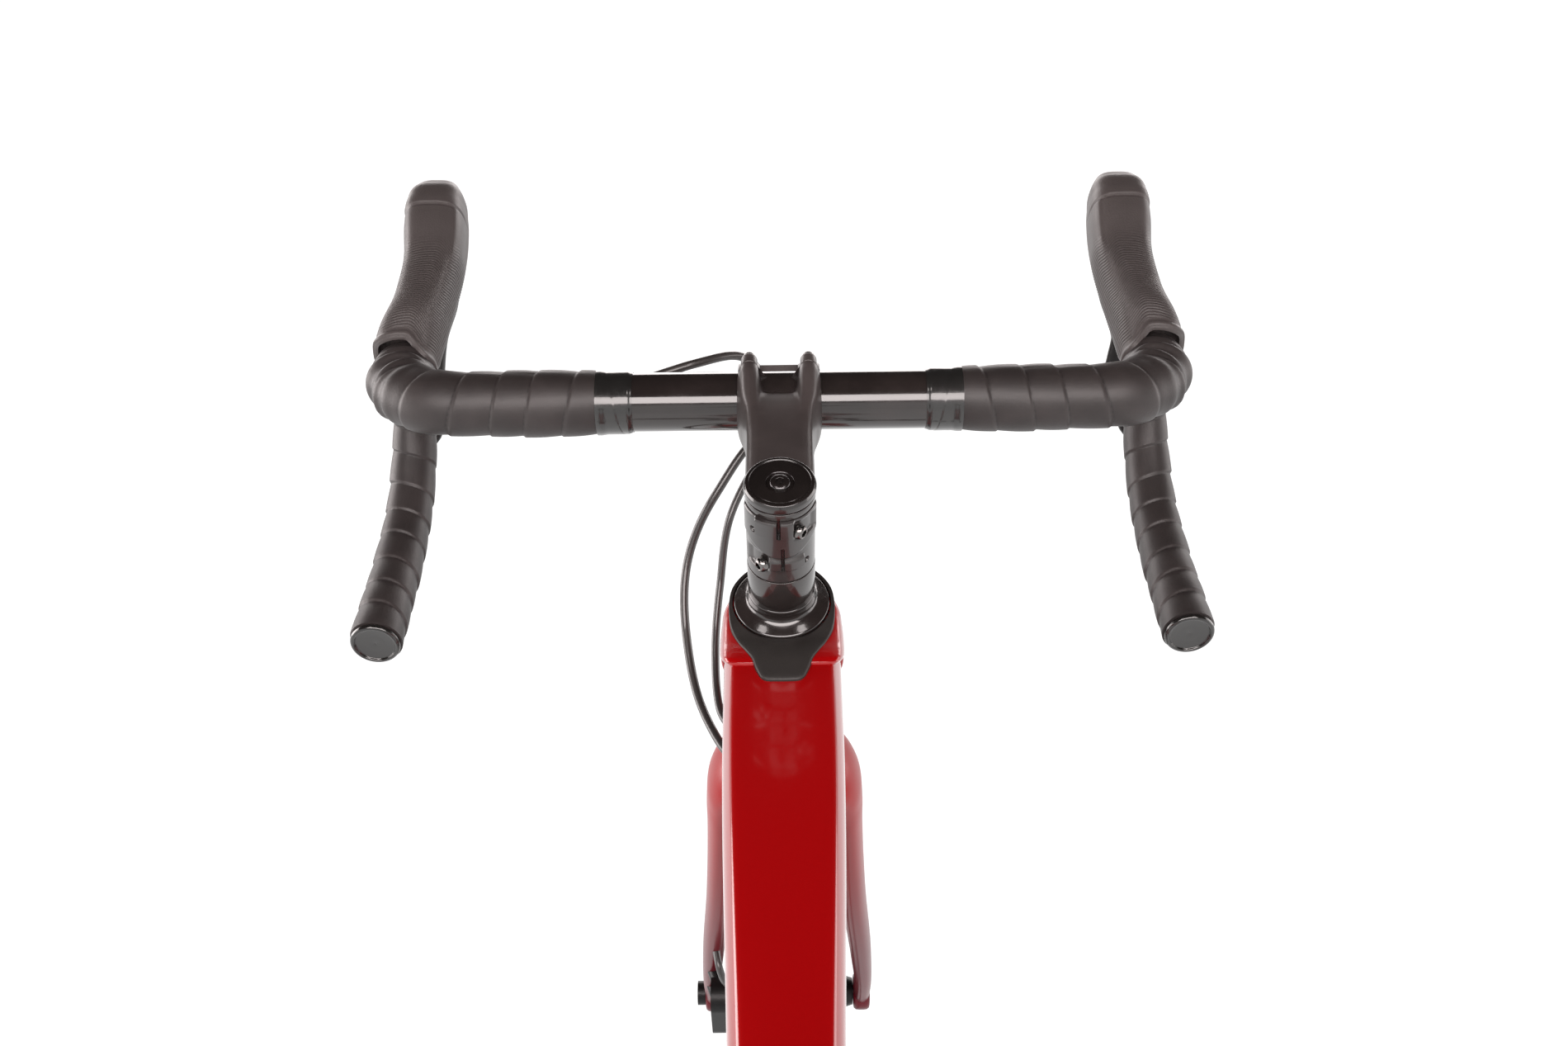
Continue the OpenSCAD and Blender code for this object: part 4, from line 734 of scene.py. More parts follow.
class BICYCLE_OT_stage(bpy.types.Operator):
    """Camera over the saddle, pale floor and soft studio light"""

    bl_idname = "bicycle.stage"
    bl_label = "Stage"

    def execute(self, context):
        scene = context.scene
        mix_finishes(scene.bicycle_finish)
        scene.view_settings.view_transform = "Standard"
        self.camera(scene)
        self.floor(scene)
        self.world(scene)
        glow("front", (0, 5.2, 1.5), (0, 0.3, 0.9), 9.0, 2.2, 190)
        glow("strip", (0, -1.45, 2.0), (0, 0.3, 0.85), 2.8, 0.9, 78)
        for side in (-1, 1):
            glow("spot", (side * 0.8, -0.52, 2.48), (0, 0.3, 0.85), 0.36, 0.36, 3)
            glow("side", (side * 3.0, 1.0, 1.0), (0, 0.35, 0.7), 2.8, 1.9, 70 - 30 * side)
        return {"FINISHED"}

    def camera(self, scene):
        """The eye: moved, then pitched down from level, then rolled."""
        camera = bpy.data.cameras.new("camera")
        camera.lens, camera.sensor_width, camera.clip_start = LENS, SENSOR, 0.05
        eye = bpy.data.objects.new("camera", camera)
        scene.collection.objects.link(eye)
        eye.matrix_world = (
            Matrix.Translation(EYE)
            @ Matrix.Rotation(math.radians(90 - EYE_DOWN), 4, "X")
            @ Matrix.Rotation(math.radians(EYE_ROLL), 4, "Z")
        )
        scene.camera = eye

    def floor(self, scene):
        """A square that is grey by the lamps and white by its own light."""
        mesh = bpy.data.meshes.new("floor")
        corners = [(x * FLOOR_HALF, y * FLOOR_HALF, 0) for x, y in ((-1, -1), (1, -1), (1, 1), (-1, 1))]
        mesh.from_pydata(corners, [], [(0, 1, 2, 3)])
        floor = bpy.data.objects.new("floor", mesh)
        scene.collection.objects.link(floor)
        p = Paint("floor")
        pale = p.node("ShaderNodeBsdfDiffuse", None, {"Color": (FLOOR_GREY,) * 3 + (1,)})
        light = p.node("ShaderNodeEmission", None, {"Color": (1, 1, 1, 1), "Strength": FLOOR_LIGHT})
        both = p.node("ShaderNodeAddShader", None, {0: pale, 1: light})
        p.node("ShaderNodeOutputMaterial", None, {"Surface": both})
        mesh.materials.append(p.material)

    def world(self, scene):
        """A pale horizon that fades to a dark zenith, by the height of the direction looked in."""
        world = bpy.data.worlds.new("studio")
        scene.world = world
        world.use_nodes = True
        world.node_tree.nodes.clear()
        sky = Paint(None, world.node_tree)
        way = sky.node("ShaderNodeTexCoord", out=0)
        high = sky.node("ShaderNodeSeparateXYZ", None, {0: way}, out=2)
        fade = 1 - high.between(SKY_LOW, SKY_HIGH)
        tone = fade * (HORIZON_TONE - ZENITH_TONE) + ZENITH_TONE
        back = sky.node("ShaderNodeBackground", None, {"Color": tone, "Strength": 1.0})
        sky.node("ShaderNodeOutputWorld", None, {"Surface": back})


# Bar path from its middle to the right end, and where its tape starts
BAR_POINTS = [[0, 0, 0], [80, 0, 0], [150, 0, 0], [186, 4, 0], [206.5, 24, -1], [212, 52, -3],
              [215, 80, -15], [219.5, 92, -40], [221.5, 84, -70], [222.7, 58, -96], [224, 20, -112],
              [225.5, -40, -125]]
TAPE_START = 95.2

# The shift housing's diameter, as a share of a brake hose's
HOUSING_SHARE = 0.9


def hose(name, base, points, diameter, body, node):
    """A hose through points counted from a base: a round tube along a smooth line, with its ends
    closed."""
    line = even(smooth_line(np.array(points) + base, 12), 1.6)
    shell = Shell().grid(pipe(line, diameter / 2, 14))
    made = shell.piece(name, "hose", body, (node,), "hose_black")
    return made, line


class BICYCLE_OT_hoses(PieceOperator):
    """Brake hoses and shift housing"""

    bl_idname = "bicycle.hoses"
    bl_label = "Hoses"

    def execute(self, context):
        d = self.size.hose_diameter / MM
        thin = d * HOUSING_SHARE
        rear = [[79, 93, 69], [58, 102, 66], [24, 120, 56], [-12, 116, 42], [-36, 102, 14],
                [-50, 95, -12], [-56, 84, -36], [-55, 66, -62], [-48, 38, -84], [-34, 8, -96],
                [-23, -4, -97]]
        shift = [[79, 97.4, 75.6], [56, 106.2, 70.6], [22, 119.2, 63.6], [-6, 106.2, 40.6], [-28, 86, 8],
                 [-35, 72, -30], [-38, 50, -60], [-35, 20, -80], [-23, 0, -84]]
        front = [[-79, 95, 85], [-46, 106, 91.5], [-22, 124, 88], [-9, 134, 70], [-2, 134, 40],
                 [4, 120, -20], [4, 102, -70], [-10, 86, -106], [-25, 65, -122]]
        for name, points, thick, node in (
            ("rear_hose", rear, d, "rear_brake_hose"),
            ("shift_line", shift, thin, "shift_housing"),
        ):
            made, line = hose(name, HEAD, points, thick, None, node)
            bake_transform(made)
        hose("front_hose", HEAD, front, d, "steering", "front_brake_hose")
        # Short ends that leave the stays and the fork
        tails = (
            ("rear_hose_end", REAR, [[-56, 93.4, 26], [-56.5, 112, 22], [-56, 130, 8],
                                     [-54, 140, -14.6]], d, "frame", "rear_brake_hose"),
            ("shift_line_end", REAR, [[73, 32, -18], [79, 22, -23], [90, -1, -15], [93, -26, -20],
                                      [92, -36, -42], [90, -30, -60], [88.5, -18, -65]], thin,
             "frame", "shift_housing"),
            ("front_hose_end", FRONT, [[-50, -71, 113], [-47, -82, 104], [-44, -82, 92],
                                       [-41, -72.4, 78]], d, "steering", "front_brake_hose"),
        )
        for tail in tails:
            hose(*tail)
        return {"FINISHED"}


def tube_loft(start, end, shares, half, high, first, last, count, sharp):
    """A frame tube: soft-cornered sections from first to last shape, scaled by half widths and
    heights at shares of the length. Returns its rings and direction."""
    t = unit(end - start)
    up = np.cross(t, RIGHT)
    f = np.linspace(0, 1, count)
    w, h = through(shares, half, f)[:, None], through(shares, high, f)[:, None]
    ax, ay = soft_box(first, TUBE_SIDES, sharp)
    bx, by = soft_box(last, TUBE_SIDES, 7)
    k = ease(f, 0.1, 0.95)[:, None]
    line = start + (end - start) * f[:, None]
    return sweep(line, RIGHT, up, w * (ax * (1 - k) + bx * k), h * (ay * (1 - k) + by * k)), t


def red_skin(shell, node, crease):
    """The piece of frame lacquer that stands for a node."""
    shell.piece(node + "_skin", "frame_red", "frame", (node,), "red_lacquer", crease)


# Half sections of the tubes, as shares of half width and half height
BEVELLED = [(0.84, 0.97), (0.99, 0.5), (1.0, -0.4), (0.72, -0.98)]
COWL = [(0.88, 0.97), (1.0, 0.72), (1.0, -0.4), (0.72, -0.98)]
ROUND = [(0.55, 0.97), (0.97, 0.5), (0.97, -0.5), (0.55, -0.97)]
LONG_OVAL = [(0.62, 0.96), (1.0, 0.5), (1.0, -0.5), (0.62, -0.96)]

# Cowl: place along the top tube, half width and half height
COWL_ROWS = np.array([
    [-6, 29, 24], [0, 31, 23.6], [10, 31.8, 21.9], [20, 32.2, 21.0], [30, 32.3, 21.2],
    [42, 32.2, 22.4], [46.4, 31.9, 22.3], [47.8, 31.4, 21.9], [48.6, 30.6, 21.2], [48.8, 29.4, 20.2],
])

# Angles, in degrees, past which an edge is sharp
TUBE_CREASE, STAY_CREASE = 35, 40


class BICYCLE_OT_main_tubes(PieceOperator):
    """Head tube with its cowl, top tube and down tube"""

    bl_idname = "bicycle.main_tubes"
    bl_label = "Main tubes"

    def execute(self, context):
        self.head_tube()
        self.top_tube()
        self.down_tube()
        return {"FINISHED"}

    def head_tube(self):
        """A closed profile of wall and bore turned round the steering axis, with the cowl's rings."""
        level = np.linspace(HEAD_LOW, -0.4, 60)
        outer = through([HEAD_LOW, -106, -92, -59, -32, -14, 0],
                        [29.5, 29.5, 26.4, 24, 25, 27.3, 27.5], level)
        wall = np.stack([outer, level], 1)
        bore = [[27.2, 0], [21.2, 0], [21.0, -1], [21.0, -112], [26.2, -112], [26.2, HEAD_LOW],
                [29.2, HEAD_LOW - 0.1]]
        ring = lathe(np.concatenate([wall, bore]), 128, HEAD, STEER, RIGHT)
        red_skin(Shell().grid(ring, loop=True).grid(self.cowl(), ends=False), "head_tube", TUBE_CREASE)

    def cowl(self):
        """Sections along the top tube, whose lower points lean forwards. They are pushed out of
        the head tube and cut by a roof: flat under the headset, rising to the back."""
        end = COWL_ROWS[-1, 0]
        d = np.concatenate([np.linspace(COWL_ROWS[0, 0], 44, 46), np.linspace(45, end, 14)])
        t = unit(TOP_TUBE_SEAT - TOP_TUBE_HEAD)
        w, h = through(COWL_ROWS[:, 0], COWL_ROWS[:, 1:], d).T[..., None]
        across, along = soft_box(COWL, TUBE_SIDES, 22)
        rings = sweep(TOP_TUBE_HEAD + t * d[:, None], RIGHT, np.cross(t, RIGHT), w * across, h * along)
        lean = 1.5 * d[:, None] / end * np.clip(h - h * along, 0, 20)
        rings = off_axis(rings - lean[..., None] * t, HEAD, STEER, HEAD_WAIST_R + 0.2)
        high, ahead = (rings - HEAD) @ STEER, (rings - HEAD) @ AHEAD
        roof = -0.3 + 0.25 * np.maximum(-14 - ahead, 0)
        return rings + np.minimum(roof - high, 0)[..., None] * STEER

    def top_tube(self):
        """A tube from inside the cowl; its last rings are slid on to the seat tube's wall."""
        inside = 34 * unit(TOP_TUBE_SEAT - TOP_TUBE_HEAD)
        rings, t = tube_loft(TOP_TUBE_HEAD + inside, TOP_TUBE_SEAT, [0, 0.12, 0.5, 0.86, 1],
                             [30.4, 29.8, 24, 19, 18], [20.5, 20.5, 18.5, 17, 17],
                             BEVELLED, ROUND, 120, 30)
        f = np.linspace(0, 1, len(rings))[:, None]
        stop = meet(rings[-1], t, CRANK, SEAT_DIR, SEAT_TUBE_R)
        slide = ((stop - rings[-1]) @ t) * f**6
        red_skin(Shell().grid(rings + slide[..., None] * t), "top_tube", TUBE_CREASE)

    def down_tube(self):
        """A tube whose end rings are slid on to the head tube's and the crank shell's walls, and
        kept above the head tube's lower end."""
        rings, t = tube_loft(DOWN_TUBE_HEAD, CRANK, [0, 0.2, 0.6, 0.9, 1], [25, 25, 26, 29, 30],
                             [27, 26, 26, 24, 22], LONG_OVAL, LONG_OVAL, 140, 12)
        f = np.linspace(0, 1, len(rings))[:, None]
        first = meet(rings[0] + 200 * t, -t, HEAD, STEER, HEAD_WAIST_R)
        last = meet(rings[-1] - 100 * t, t, CRANK, RIGHT, CRANK_SHELL_R)
        slide = ((first - rings[0]) @ t) * (1 - f) ** 8 + ((last - rings[-1]) @ t) * f**8
        rings = rings + slide[..., None] * t
        low = (rings - HEAD) @ STEER
        near = np.linalg.norm(square_to(rings - HEAD, STEER), axis=-1) < 60
        lift = np.where(near, np.maximum(HEAD_LOW + 0.4 - low, 0), 0)
        red_skin(Shell().grid(rings + lift[..., None] * STEER, ends=False), "down_tube", TUBE_CREASE)


def stay(points, half_x, half_other, other):
    """A stay: rounded-box sections along a smooth line, wide along X and along the other way."""
    found = drawn(np.column_stack([points, half_x, half_other]), 90)
    c, s = oval(48, 2.4)
    return sweep(found[:, :3], RIGHT, other, found[:, 3:4] * c, found[:, 4:] * s)


class BICYCLE_OT_stays(PieceOperator):
    """Chainstays with their axle plates, and seatstays"""

    bl_idname = "bicycle.stays"
    bl_label = "Stays"

    def execute(self, context):
        c, r = CRANK, REAR
        points = [[25, c[1] - 8, c[2] - 4], [30, c[1] - 60, c[2] + 3], [33, c[1] - 130, c[2] + 15],
                  [48, c[1] - 260, c[2] + 37], [69, r[1] + 62, r[2] - 12], [74.6, r[1] + 10, r[2] - 2]]
        lower = stay(points, [11, 9, 9, 8.5, 6, 4.2], [16, 16, 14, 12, 11, 11], UP)
        lower = off_axis(lower, c, RIGHT, CRANK_SHELL_R + 0.2)
        plate = lathe(sleeve(AXLE_BORE, 16, 71, 79, 1.6), 64, r, RIGHT, STEER)
        red_skin(Shell().pair(lower).pair(plate, loop=True), "chainstays", STAY_CREASE)
        top = seat_place(443)
        points = [[8, top[1] - 4, top[2]], [22, r[1] + 250, r[2] + 314], [29, r[1] + 188, r[2] + 246],
                  [50, r[1] + 90, r[2] + 124], [72, r[1] + 24, r[2] + 32], [74.8, r[1] + 6, r[2] + 8]]
        upper = stay(points, [8, 6, 5.5, 5.5, 5, 4.2], [12, 10, 9, 9, 9, 9], -FORWARD)
        upper = off_axis(upper, c, SEAT_DIR, SEAT_TUBE_R + 0.2)
        upper = off_axis(upper, r, RIGHT, 9.0)
        red_skin(Shell().pair(upper), "seatstays", STAY_CREASE)
        return {"FINISHED"}


class BICYCLE_OT_fork(PieceOperator):
    """Fork: one arch from tip to tip over the wheel, with its crown seat, steerer and axle bosses"""

    bl_idname = "bicycle.fork"
    bl_label = "Fork"

    def execute(self, context):
        # Right half of the arch: place in the steering's axes, half width and half depth
        rows = [[0, 0, -135, 16, 28], [15, 0, -136, 15.4, 27.6], [27, 1, -145.5, 13, 25.5],
                [33.8, 2, -158, 11.2, 22.5], [36.4, 3, -174, 10.2, 20.5], [38, 5, -202, 9.5, 19],
                [44, 14, -302, 8.5, 16], [53, 30, -416.6, 7.5, 13], [56.6, 41, -482.6, 6.4, 12],
                [56.6, 47, -512.6, 6.2, 11]]
        rows = np.array(rows, float)
        found = drawn(np.concatenate([rows[:0:-1] * [-1, 1, 1, 1, 1], rows]), 320)
        line = found[:, :3]
        _, deep, out = facing(line, FORWARD)
        c, s = oval(72, 2.35)
        arch = sweep(line, deep, out, found[:, 4:] * c, found[:, 3:4] * s)
        shell = Shell().grid(steer(arch))
        seat = rounded([[STEERER_BORE, -118.8], [28.8, -118.8], [29.2, -122], [27.5, -130],
                        [STEERER_BORE, -134]], 1.2)
        shell.grid(lathe(seat, 96, HEAD, STEER, RIGHT), loop=True)
        stalk = sleeve(11.2, STEERER_BORE - 0.1, -132, 84, 0.5)
        shell.grid(lathe(stalk, 64, HEAD, STEER, RIGHT), loop=True)
        boss = sleeve(AXLE_BORE, 14, 50.2, 62.8, 4.6)
        shell.pair(lathe(boss, 64, FRONT, RIGHT, STEER), loop=True)
        shell.piece("fork", "fork_fade", "steering", ("fork_crown", "fork_legs"), "fork_lacquer")
        return {"FINISHED"}


class BICYCLE_OT_headset(PieceOperator):
    """Rubber boot over the cowl, gloss cover, spacers and top cap"""

    bl_idname = "bicycle.headset"
    bl_label = "Headset"

    def execute(self, context):
        self.boot()
        cover = [[STEERER_BORE, 0.7], [24.2, 0.7], [25, 1.5], [25, 2.8], [24.5, 3.7], [23.4, 4.3],
                 [21.3, 5.3], [19.3, 6.5], [18.2, 7.4], [17.6, 8.6], [17.3, 10.4], [17.3, 14],
                 [STEERER_BORE, 14]]
        shell = Shell().grid(self.on_steerer(rounded(cover, 1.2, 6)), loop=True)
        shell.piece("cover", "cover_gloss", "steering", ("headset_cover",), "gloss_black", 60)
        shell = Shell()
        for low, high, r in ((14.05, CLAMP_LOW - 0.1, 17.2), (CLAMP_HIGH + 0.05, 84.9, 17.3)):
            shell.grid(self.on_steerer(sleeve(STEERER_BORE, r, low, high, 0.4)), loop=True)
        shell.piece("spacers", "cover_gloss", "steering", ("headset_spacers",), "gloss_black", 60)
        cap = [[0.01, 85.1], [16.9, 85.1], [17.7, 86.4], [17.7, 89.2], [16.8, 90.8], [15.4, 91],
               [15.0, 90.4], [14.2, 90.3], [13.8, 90.6], [7.0, 90.6], [6.2, 89.2], [0.01, 89.2]]
        shell = Shell().grid(self.on_steerer(rounded(cap, 0.45, 6)), loop=True)
        shell.piece("cap", "cap", "steering", ("top_cap",), "matte_black", 60)
        head = screw(5.3, 2.6, 2.0) @ np.array([RIGHT, AHEAD, STEER]) + HEAD + STEER * 89.0
        Shell().grid(head).piece("cap_bolt", "cap", "steering", slot="black_steel")
        return {"FINISHED"}

    def on_steerer(self, profile):
        """A profile turned round the steering axis."""
        return lathe(profile, STEERER_SIDES, HEAD, STEER, RIGHT)

    def boot(self):
        """A ring round the cover that runs back into a tongue: points on straight lines from the
        ring's bore to the drawn outline, at the height of the cowl below plus a wall."""
        half = [[0, 27.4], [10, 25.5], [19, 19.7], [25.4, 10.2], [27.4, 0], [27.2, -10], [25.8, -18.5],
                [22.2, -27.5], [18.3, -34.6], [15.2, -40.6], [13.5, -46.4], [11, -52.6], [8.4, -54.9],
                [5, -55.4], [0, -55.5]]
        half = smooth_line(half, 10)
        edge = even(np.concatenate([half, half[-2:0:-1] * [-1, 1], half[:1]]), 0.9)[:-1]
        a = np.arctan2(edge[:, 0], edge[:, 1])
        bore = 25.5 * np.stack([np.sin(a), np.cos(a)], 1)
        # Shares of the way out, and how far each ring of points lies under the face
        f = np.concatenate([[0, 0, 0.06], np.linspace(0.12, 0.86, 14), [0.92, 0.96, 0.985, 1, 1, 1]])
        drop = np.concatenate([[3.6, 0.6, 0.12], np.zeros(14), [0.12, 0.35, 0.75, 1.3, 2.2, 3.6]])
        plan = bore + (edge - bore) * f[:, None, None]
        y = plan[..., 1]
        high = through([-60, -54, -47, -40, -33, -25, -14, -4, 10, 28],
                       [8.9, 8.7, 8.3, 7.7, 6.0, 3.7, 3.2, 3.3, 3.5, 3.5], y)
        crown = 0.7 * np.abs(plan[..., 0] / 20) ** 2 * ease(-y, 14, 30)
        points = np.concatenate([plan, (high - crown - drop[:, None])[..., None]], -1)
        shell = Shell().grid(steer(points), loop=True)
        shell.piece("boot_skin", "boot", "frame", ("headset_boot",), "boot_rubber", 60)


def screw(radius, height, socket):
    """A domed screw head on the third axis; the six-sided socket's radius grows as 1 / cos."""
    a = turn(96)
    six = 1 / np.cos((a + np.pi / 6) % (np.pi / 3) - np.pi / 6)
    rows = [(radius * 0.96, 0, 0), (radius, 0.3, 0), (radius * 0.97, 0.55, 0), (radius * 0.86, 0.8, 0),
            (radius * 0.68, 0.96, 0), (socket * 1.12, 1.0, 1), (socket, 0.94, 1),
            (socket * 0.96, 0.2, 1)]
    r = np.array([k * (six if hexed else np.ones_like(a)) for k, _, hexed in rows])
    z = np.array([np.full_like(a, height * level) for _, level, _ in rows])
    return np.stack([r * np.cos(a), r * np.sin(a), z], -1)


STEM_OUT = stem_place([0, 1, 0]) - stem_place([0, 0, 0])
FACE_SCREWS = [(x, h) for x in (-15.8, 15.8) for h in (-22, 22)]

# Stem: places along it, each with the half section there from the top's middle to the bottom's
STEM_SECTIONS = (
    ((0,), [
        (0, 15.5), (6, 15.45), (9.5, 15.2), (12, 14.8), (14, 13.9), (16, 12), (17, 5), (17, -5),
        (16, -14), (11.5, -19), (0, -20),
    ]),
    ((18, 40), [
        (0, 17), (6, 16.95), (9.5, 16.7), (12.3, 16.3), (14.8, 15.2), (16.8, 12.6), (17.5, 5),
        (17.5, -6), (16.5, -15), (11.5, -19.5), (0, -20),
    ]),
    ((62,), [
        (0, 16.9), (6, 16.9), (9.5, 16.8), (12.4, 16.6), (15, 15.8), (17, 13), (17.7, 5),
        (17.7, -6), (16.8, -15.5), (11.5, -20), (0, -20.5),
    ]),
    ((74,), [
        (0, 16.2), (6.2, 16.2), (9.6, 16.6), (12.6, 17.8), (15.4, 17.8), (18, 14.6), (19.4, 5),
        (19.4, -6), (18, -16), (12, -20), (0, -20.5),
    ]),
    ((82,), [
        (0, 15.2), (6.4, 15.3), (9.6, 16.6), (12.4, 19.8), (16, 20.4), (19.8, 16.4), (21.8, 5),
        (21.8, -6), (19.8, -16.5), (13, -20.2), (0, -20.5),
    ]),
    ((88,), [
        (0, 13.9), (6.8, 14.1), (9.4, 16.4), (12, 21.6), (16, 22.9), (20.4, 18.6), (22.8, 6),
        (22.8, -6), (21, -17), (14, -20.3), (0, -20.5),
    ]),
    ((92,), [
        (0, 12.4), (7.2, 12.6), (9.6, 16), (11.5, 22.4), (16, 24.5), (20.6, 20), (23, 7), (23, -7),
        (21.4, -17.3), (14, -20.4), (0, -20.5),
    ]),
    ((96,), [
        (0, 12.2), (7.6, 12.4), (9.8, 16), (11.4, 23), (16, 25.5), (20.7, 21.4), (23, 8), (23, -8),
        (21.6, -17.4), (14, -20.4), (0, -20.5),
    ]),
    ((100.2,), [
        (0, 12.2), (8, 12.4), (10, 16), (11.4, 23.2), (16, 26), (20.6, 22), (23, 8), (23, -8),
        (21.6, -17.5), (14, -20.4), (0, -20.5),
    ]),
)


class BICYCLE_OT_stem(PieceOperator):
    """Stem: body with two bolt horns, steerer clamp with slits and pinch bosses, face plate, screws"""

    bl_idname = "bicycle.stem"
    bl_label = "Stem"

    def execute(self, context):
        # The clamp takes a darker copy of the body's finish: painted shade on the one-piece stem
        for name, rings, paint, crease in (
            ("stem_skin", self.body(), "stem_matte", 50),
            ("clamp_skin", self.clamp(), "clamp", 40),
        ):
            Shell().grid(rings).piece(name, paint, "steering", ("stem",), "matte_black", crease)
        self.plate()
        self.screws()
        return {"FINISHED"}

    def body(self):
        """The half sections, mirrored into whole ones, smoothed first along the stem and then
        round it, where a few points are repeated past each end so that the ring closes smoothly."""
        keys = [place for places, _ in STEM_SECTIONS for place in places]
        half = np.array([points for places, points in STEM_SECTIONS for _ in places], float)
        whole = np.concatenate([half, half[:, -2:0:-1] * [-1, 1]], 1)
        q = np.linspace(0, keys[-1], 150)
        rows = through(keys, whole, q)
        count = rows.shape[1]
        wrapped = np.concatenate([rows[:, -3:], rows, rows[:, :4]], 1)
        at = np.arange(count * 10) / 10
        ring = through(np.arange(-3, count + 4), np.moveaxis(wrapped, 1, 0), at)
        x, h = np.moveaxis(ring, 0, 1).transpose(2, 0, 1)
        return stem_place(np.stack([x, np.broadcast_to(q[:, None], x.shape), h], -1))

    def clamp(self):
        """Radius about the steerer by angle and height: a cylinder and a lobe with a curved lower
        edge; a raised pad on one side of each pinch bolt, a scoop on the other, slits and holes."""
        a, z = turn(360)[None, :], np.linspace(CLAMP_LOW, CLAMP_HIGH, 150)[:, None]
        x = 17.3 * np.sin(a)
        back = ease(np.cos(a), 0.0, 0.3)
        lobe = ease(z - (54.5 + 10 * (x / 17) ** 2), -1.2, 1.4)
        r = 17.1 + 1.1 * lobe * back
        # Side, pad's low and high ends, heights of bolt and hole, and the slit's ends
        for side, low, high, bolt, hole, bottom, top in (
            (1, 69.5, 90, 72, 71, 69, 90),
            (-1, 45.5, 55, 48.5, 48, 46, 62),
        ):
            u = x * side
            pad = window(u, -11.8, -10.8, 5, 7) * window(z, low, low + 1.3, high - 3, high)
            scoop = window(u, 5.4, 7.4, 15, 17) * window(z, bolt - 5.4, bolt - 3.2, bolt + 5, bolt + 9)
            pit = 1 - ease(np.hypot((u + 12.6) / 0.75, z - hole), 1.2, 2.0)
            slit = (1 - ease(np.abs(x + side), 0.5, 0.8)) * (z > bottom) * (z < top)
            r = r + back * (1.7 * pad - 1.7 * scoop - 2.2 * pit - 6 * slit)
        edge = np.minimum(z - CLAMP_LOW, CLAMP_HIGH - z)
        r = np.maximum(r - 0.6 * np.clip(1 - edge / 1.2, 0, 1) ** 2, STEERER_BORE + 0.4)
        outer = np.stack([r * np.sin(a), -r * np.cos(a), np.broadcast_to(z, r.shape)], -1)
        bore = STEERER_BORE * np.stack([np.sin(a), -np.cos(a), 0 * a], -1)
        return steer(np.concatenate([bore + CLAMP_LOW * UP, outer, bore + CLAMP_HIGH * UP]))

    def plate(self):
        """Face plate: two straps and a bridge bent round the bar's front, and four screw bosses."""
        shell = Shell()
        # Left and right edges, and how far round the bar each goes
        for low, high, reach in ((10.2, 21.8, 88), (-21.8, -10.2, 88), (-12, 12, 38)):
            section = rounded([[low, 16.05], [high, 16.05], [high, 20.1], [low, 20.1]], 1.6, 5)
            bend = np.radians(np.linspace(-reach, reach, 90))[:, None]
            x, r = np.broadcast_to(section[:, 0], (90, len(section))), section[:, 1]
            shell.grid(stem_place(np.stack([x, STEM_LONG + r * np.cos(bend), r * np.sin(bend)], -1)))
        boss = rounded([[0.01, 100.5], [4.4, 100.5], [4.4, 107.4], [3.6, 108.6], [0.01, 108.6]], 0.7, 5)
        for x, h in FACE_SCREWS:
            shell.grid(lathe(boss, 56, stem_place([x, 0, h]), STEM_OUT, RIGHT), loop=True)
        shell.piece("face_plate", "stem_matte", "steering", ("stem_faceplate",), "matte_black", 50)

    def screws(self):
        """Four screws in the face plate, and two pinch screws that point back and outwards."""
        shell = Shell()
        head = screw(3.3, 3.6, 1.7) @ np.array([RIGHT, -np.cross(RIGHT, STEM_OUT), STEM_OUT])
        for x, h in FACE_SCREWS:
            shell.grid(head + stem_place([x, 108.5, h]))
        head = screw(3.9, 3.8, 1.8)
        for side, z in ((1, 72), (-1, 49)):
            way = unit(side * 0.8 * RIGHT - 0.6 * AHEAD)
            axes = np.array([np.cross(STEER, way), STEER, way])
            shell.grid(head @ axes + steer([side * 8.4, -14.8, z]))
        shell.piece("stem_screws", "screw", "steering", ("stem_bolts",), "black_steel")


def bar_radius(x):
    """The clamp's radius on the tops, eased to the grip's in the bend."""
    return BAR_R - (BAR_R - GRIP_R) * ease(x, 209, 216)


def bar_line(step):
    """The smooth line through the bar's points, from the middle to the right end."""
    return even(smooth_line(BAR_POINTS, 40) + BAR, step)


def bar_axes(line):
    """Axes along the bar: up on the tops, which turns into the outside of the hook."""
    t = unit(np.gradient(line, axis=0))
    return facing(line, np.cross(RIGHT, t) + ease(214 - line[:, :1], -6, 40) * UP)


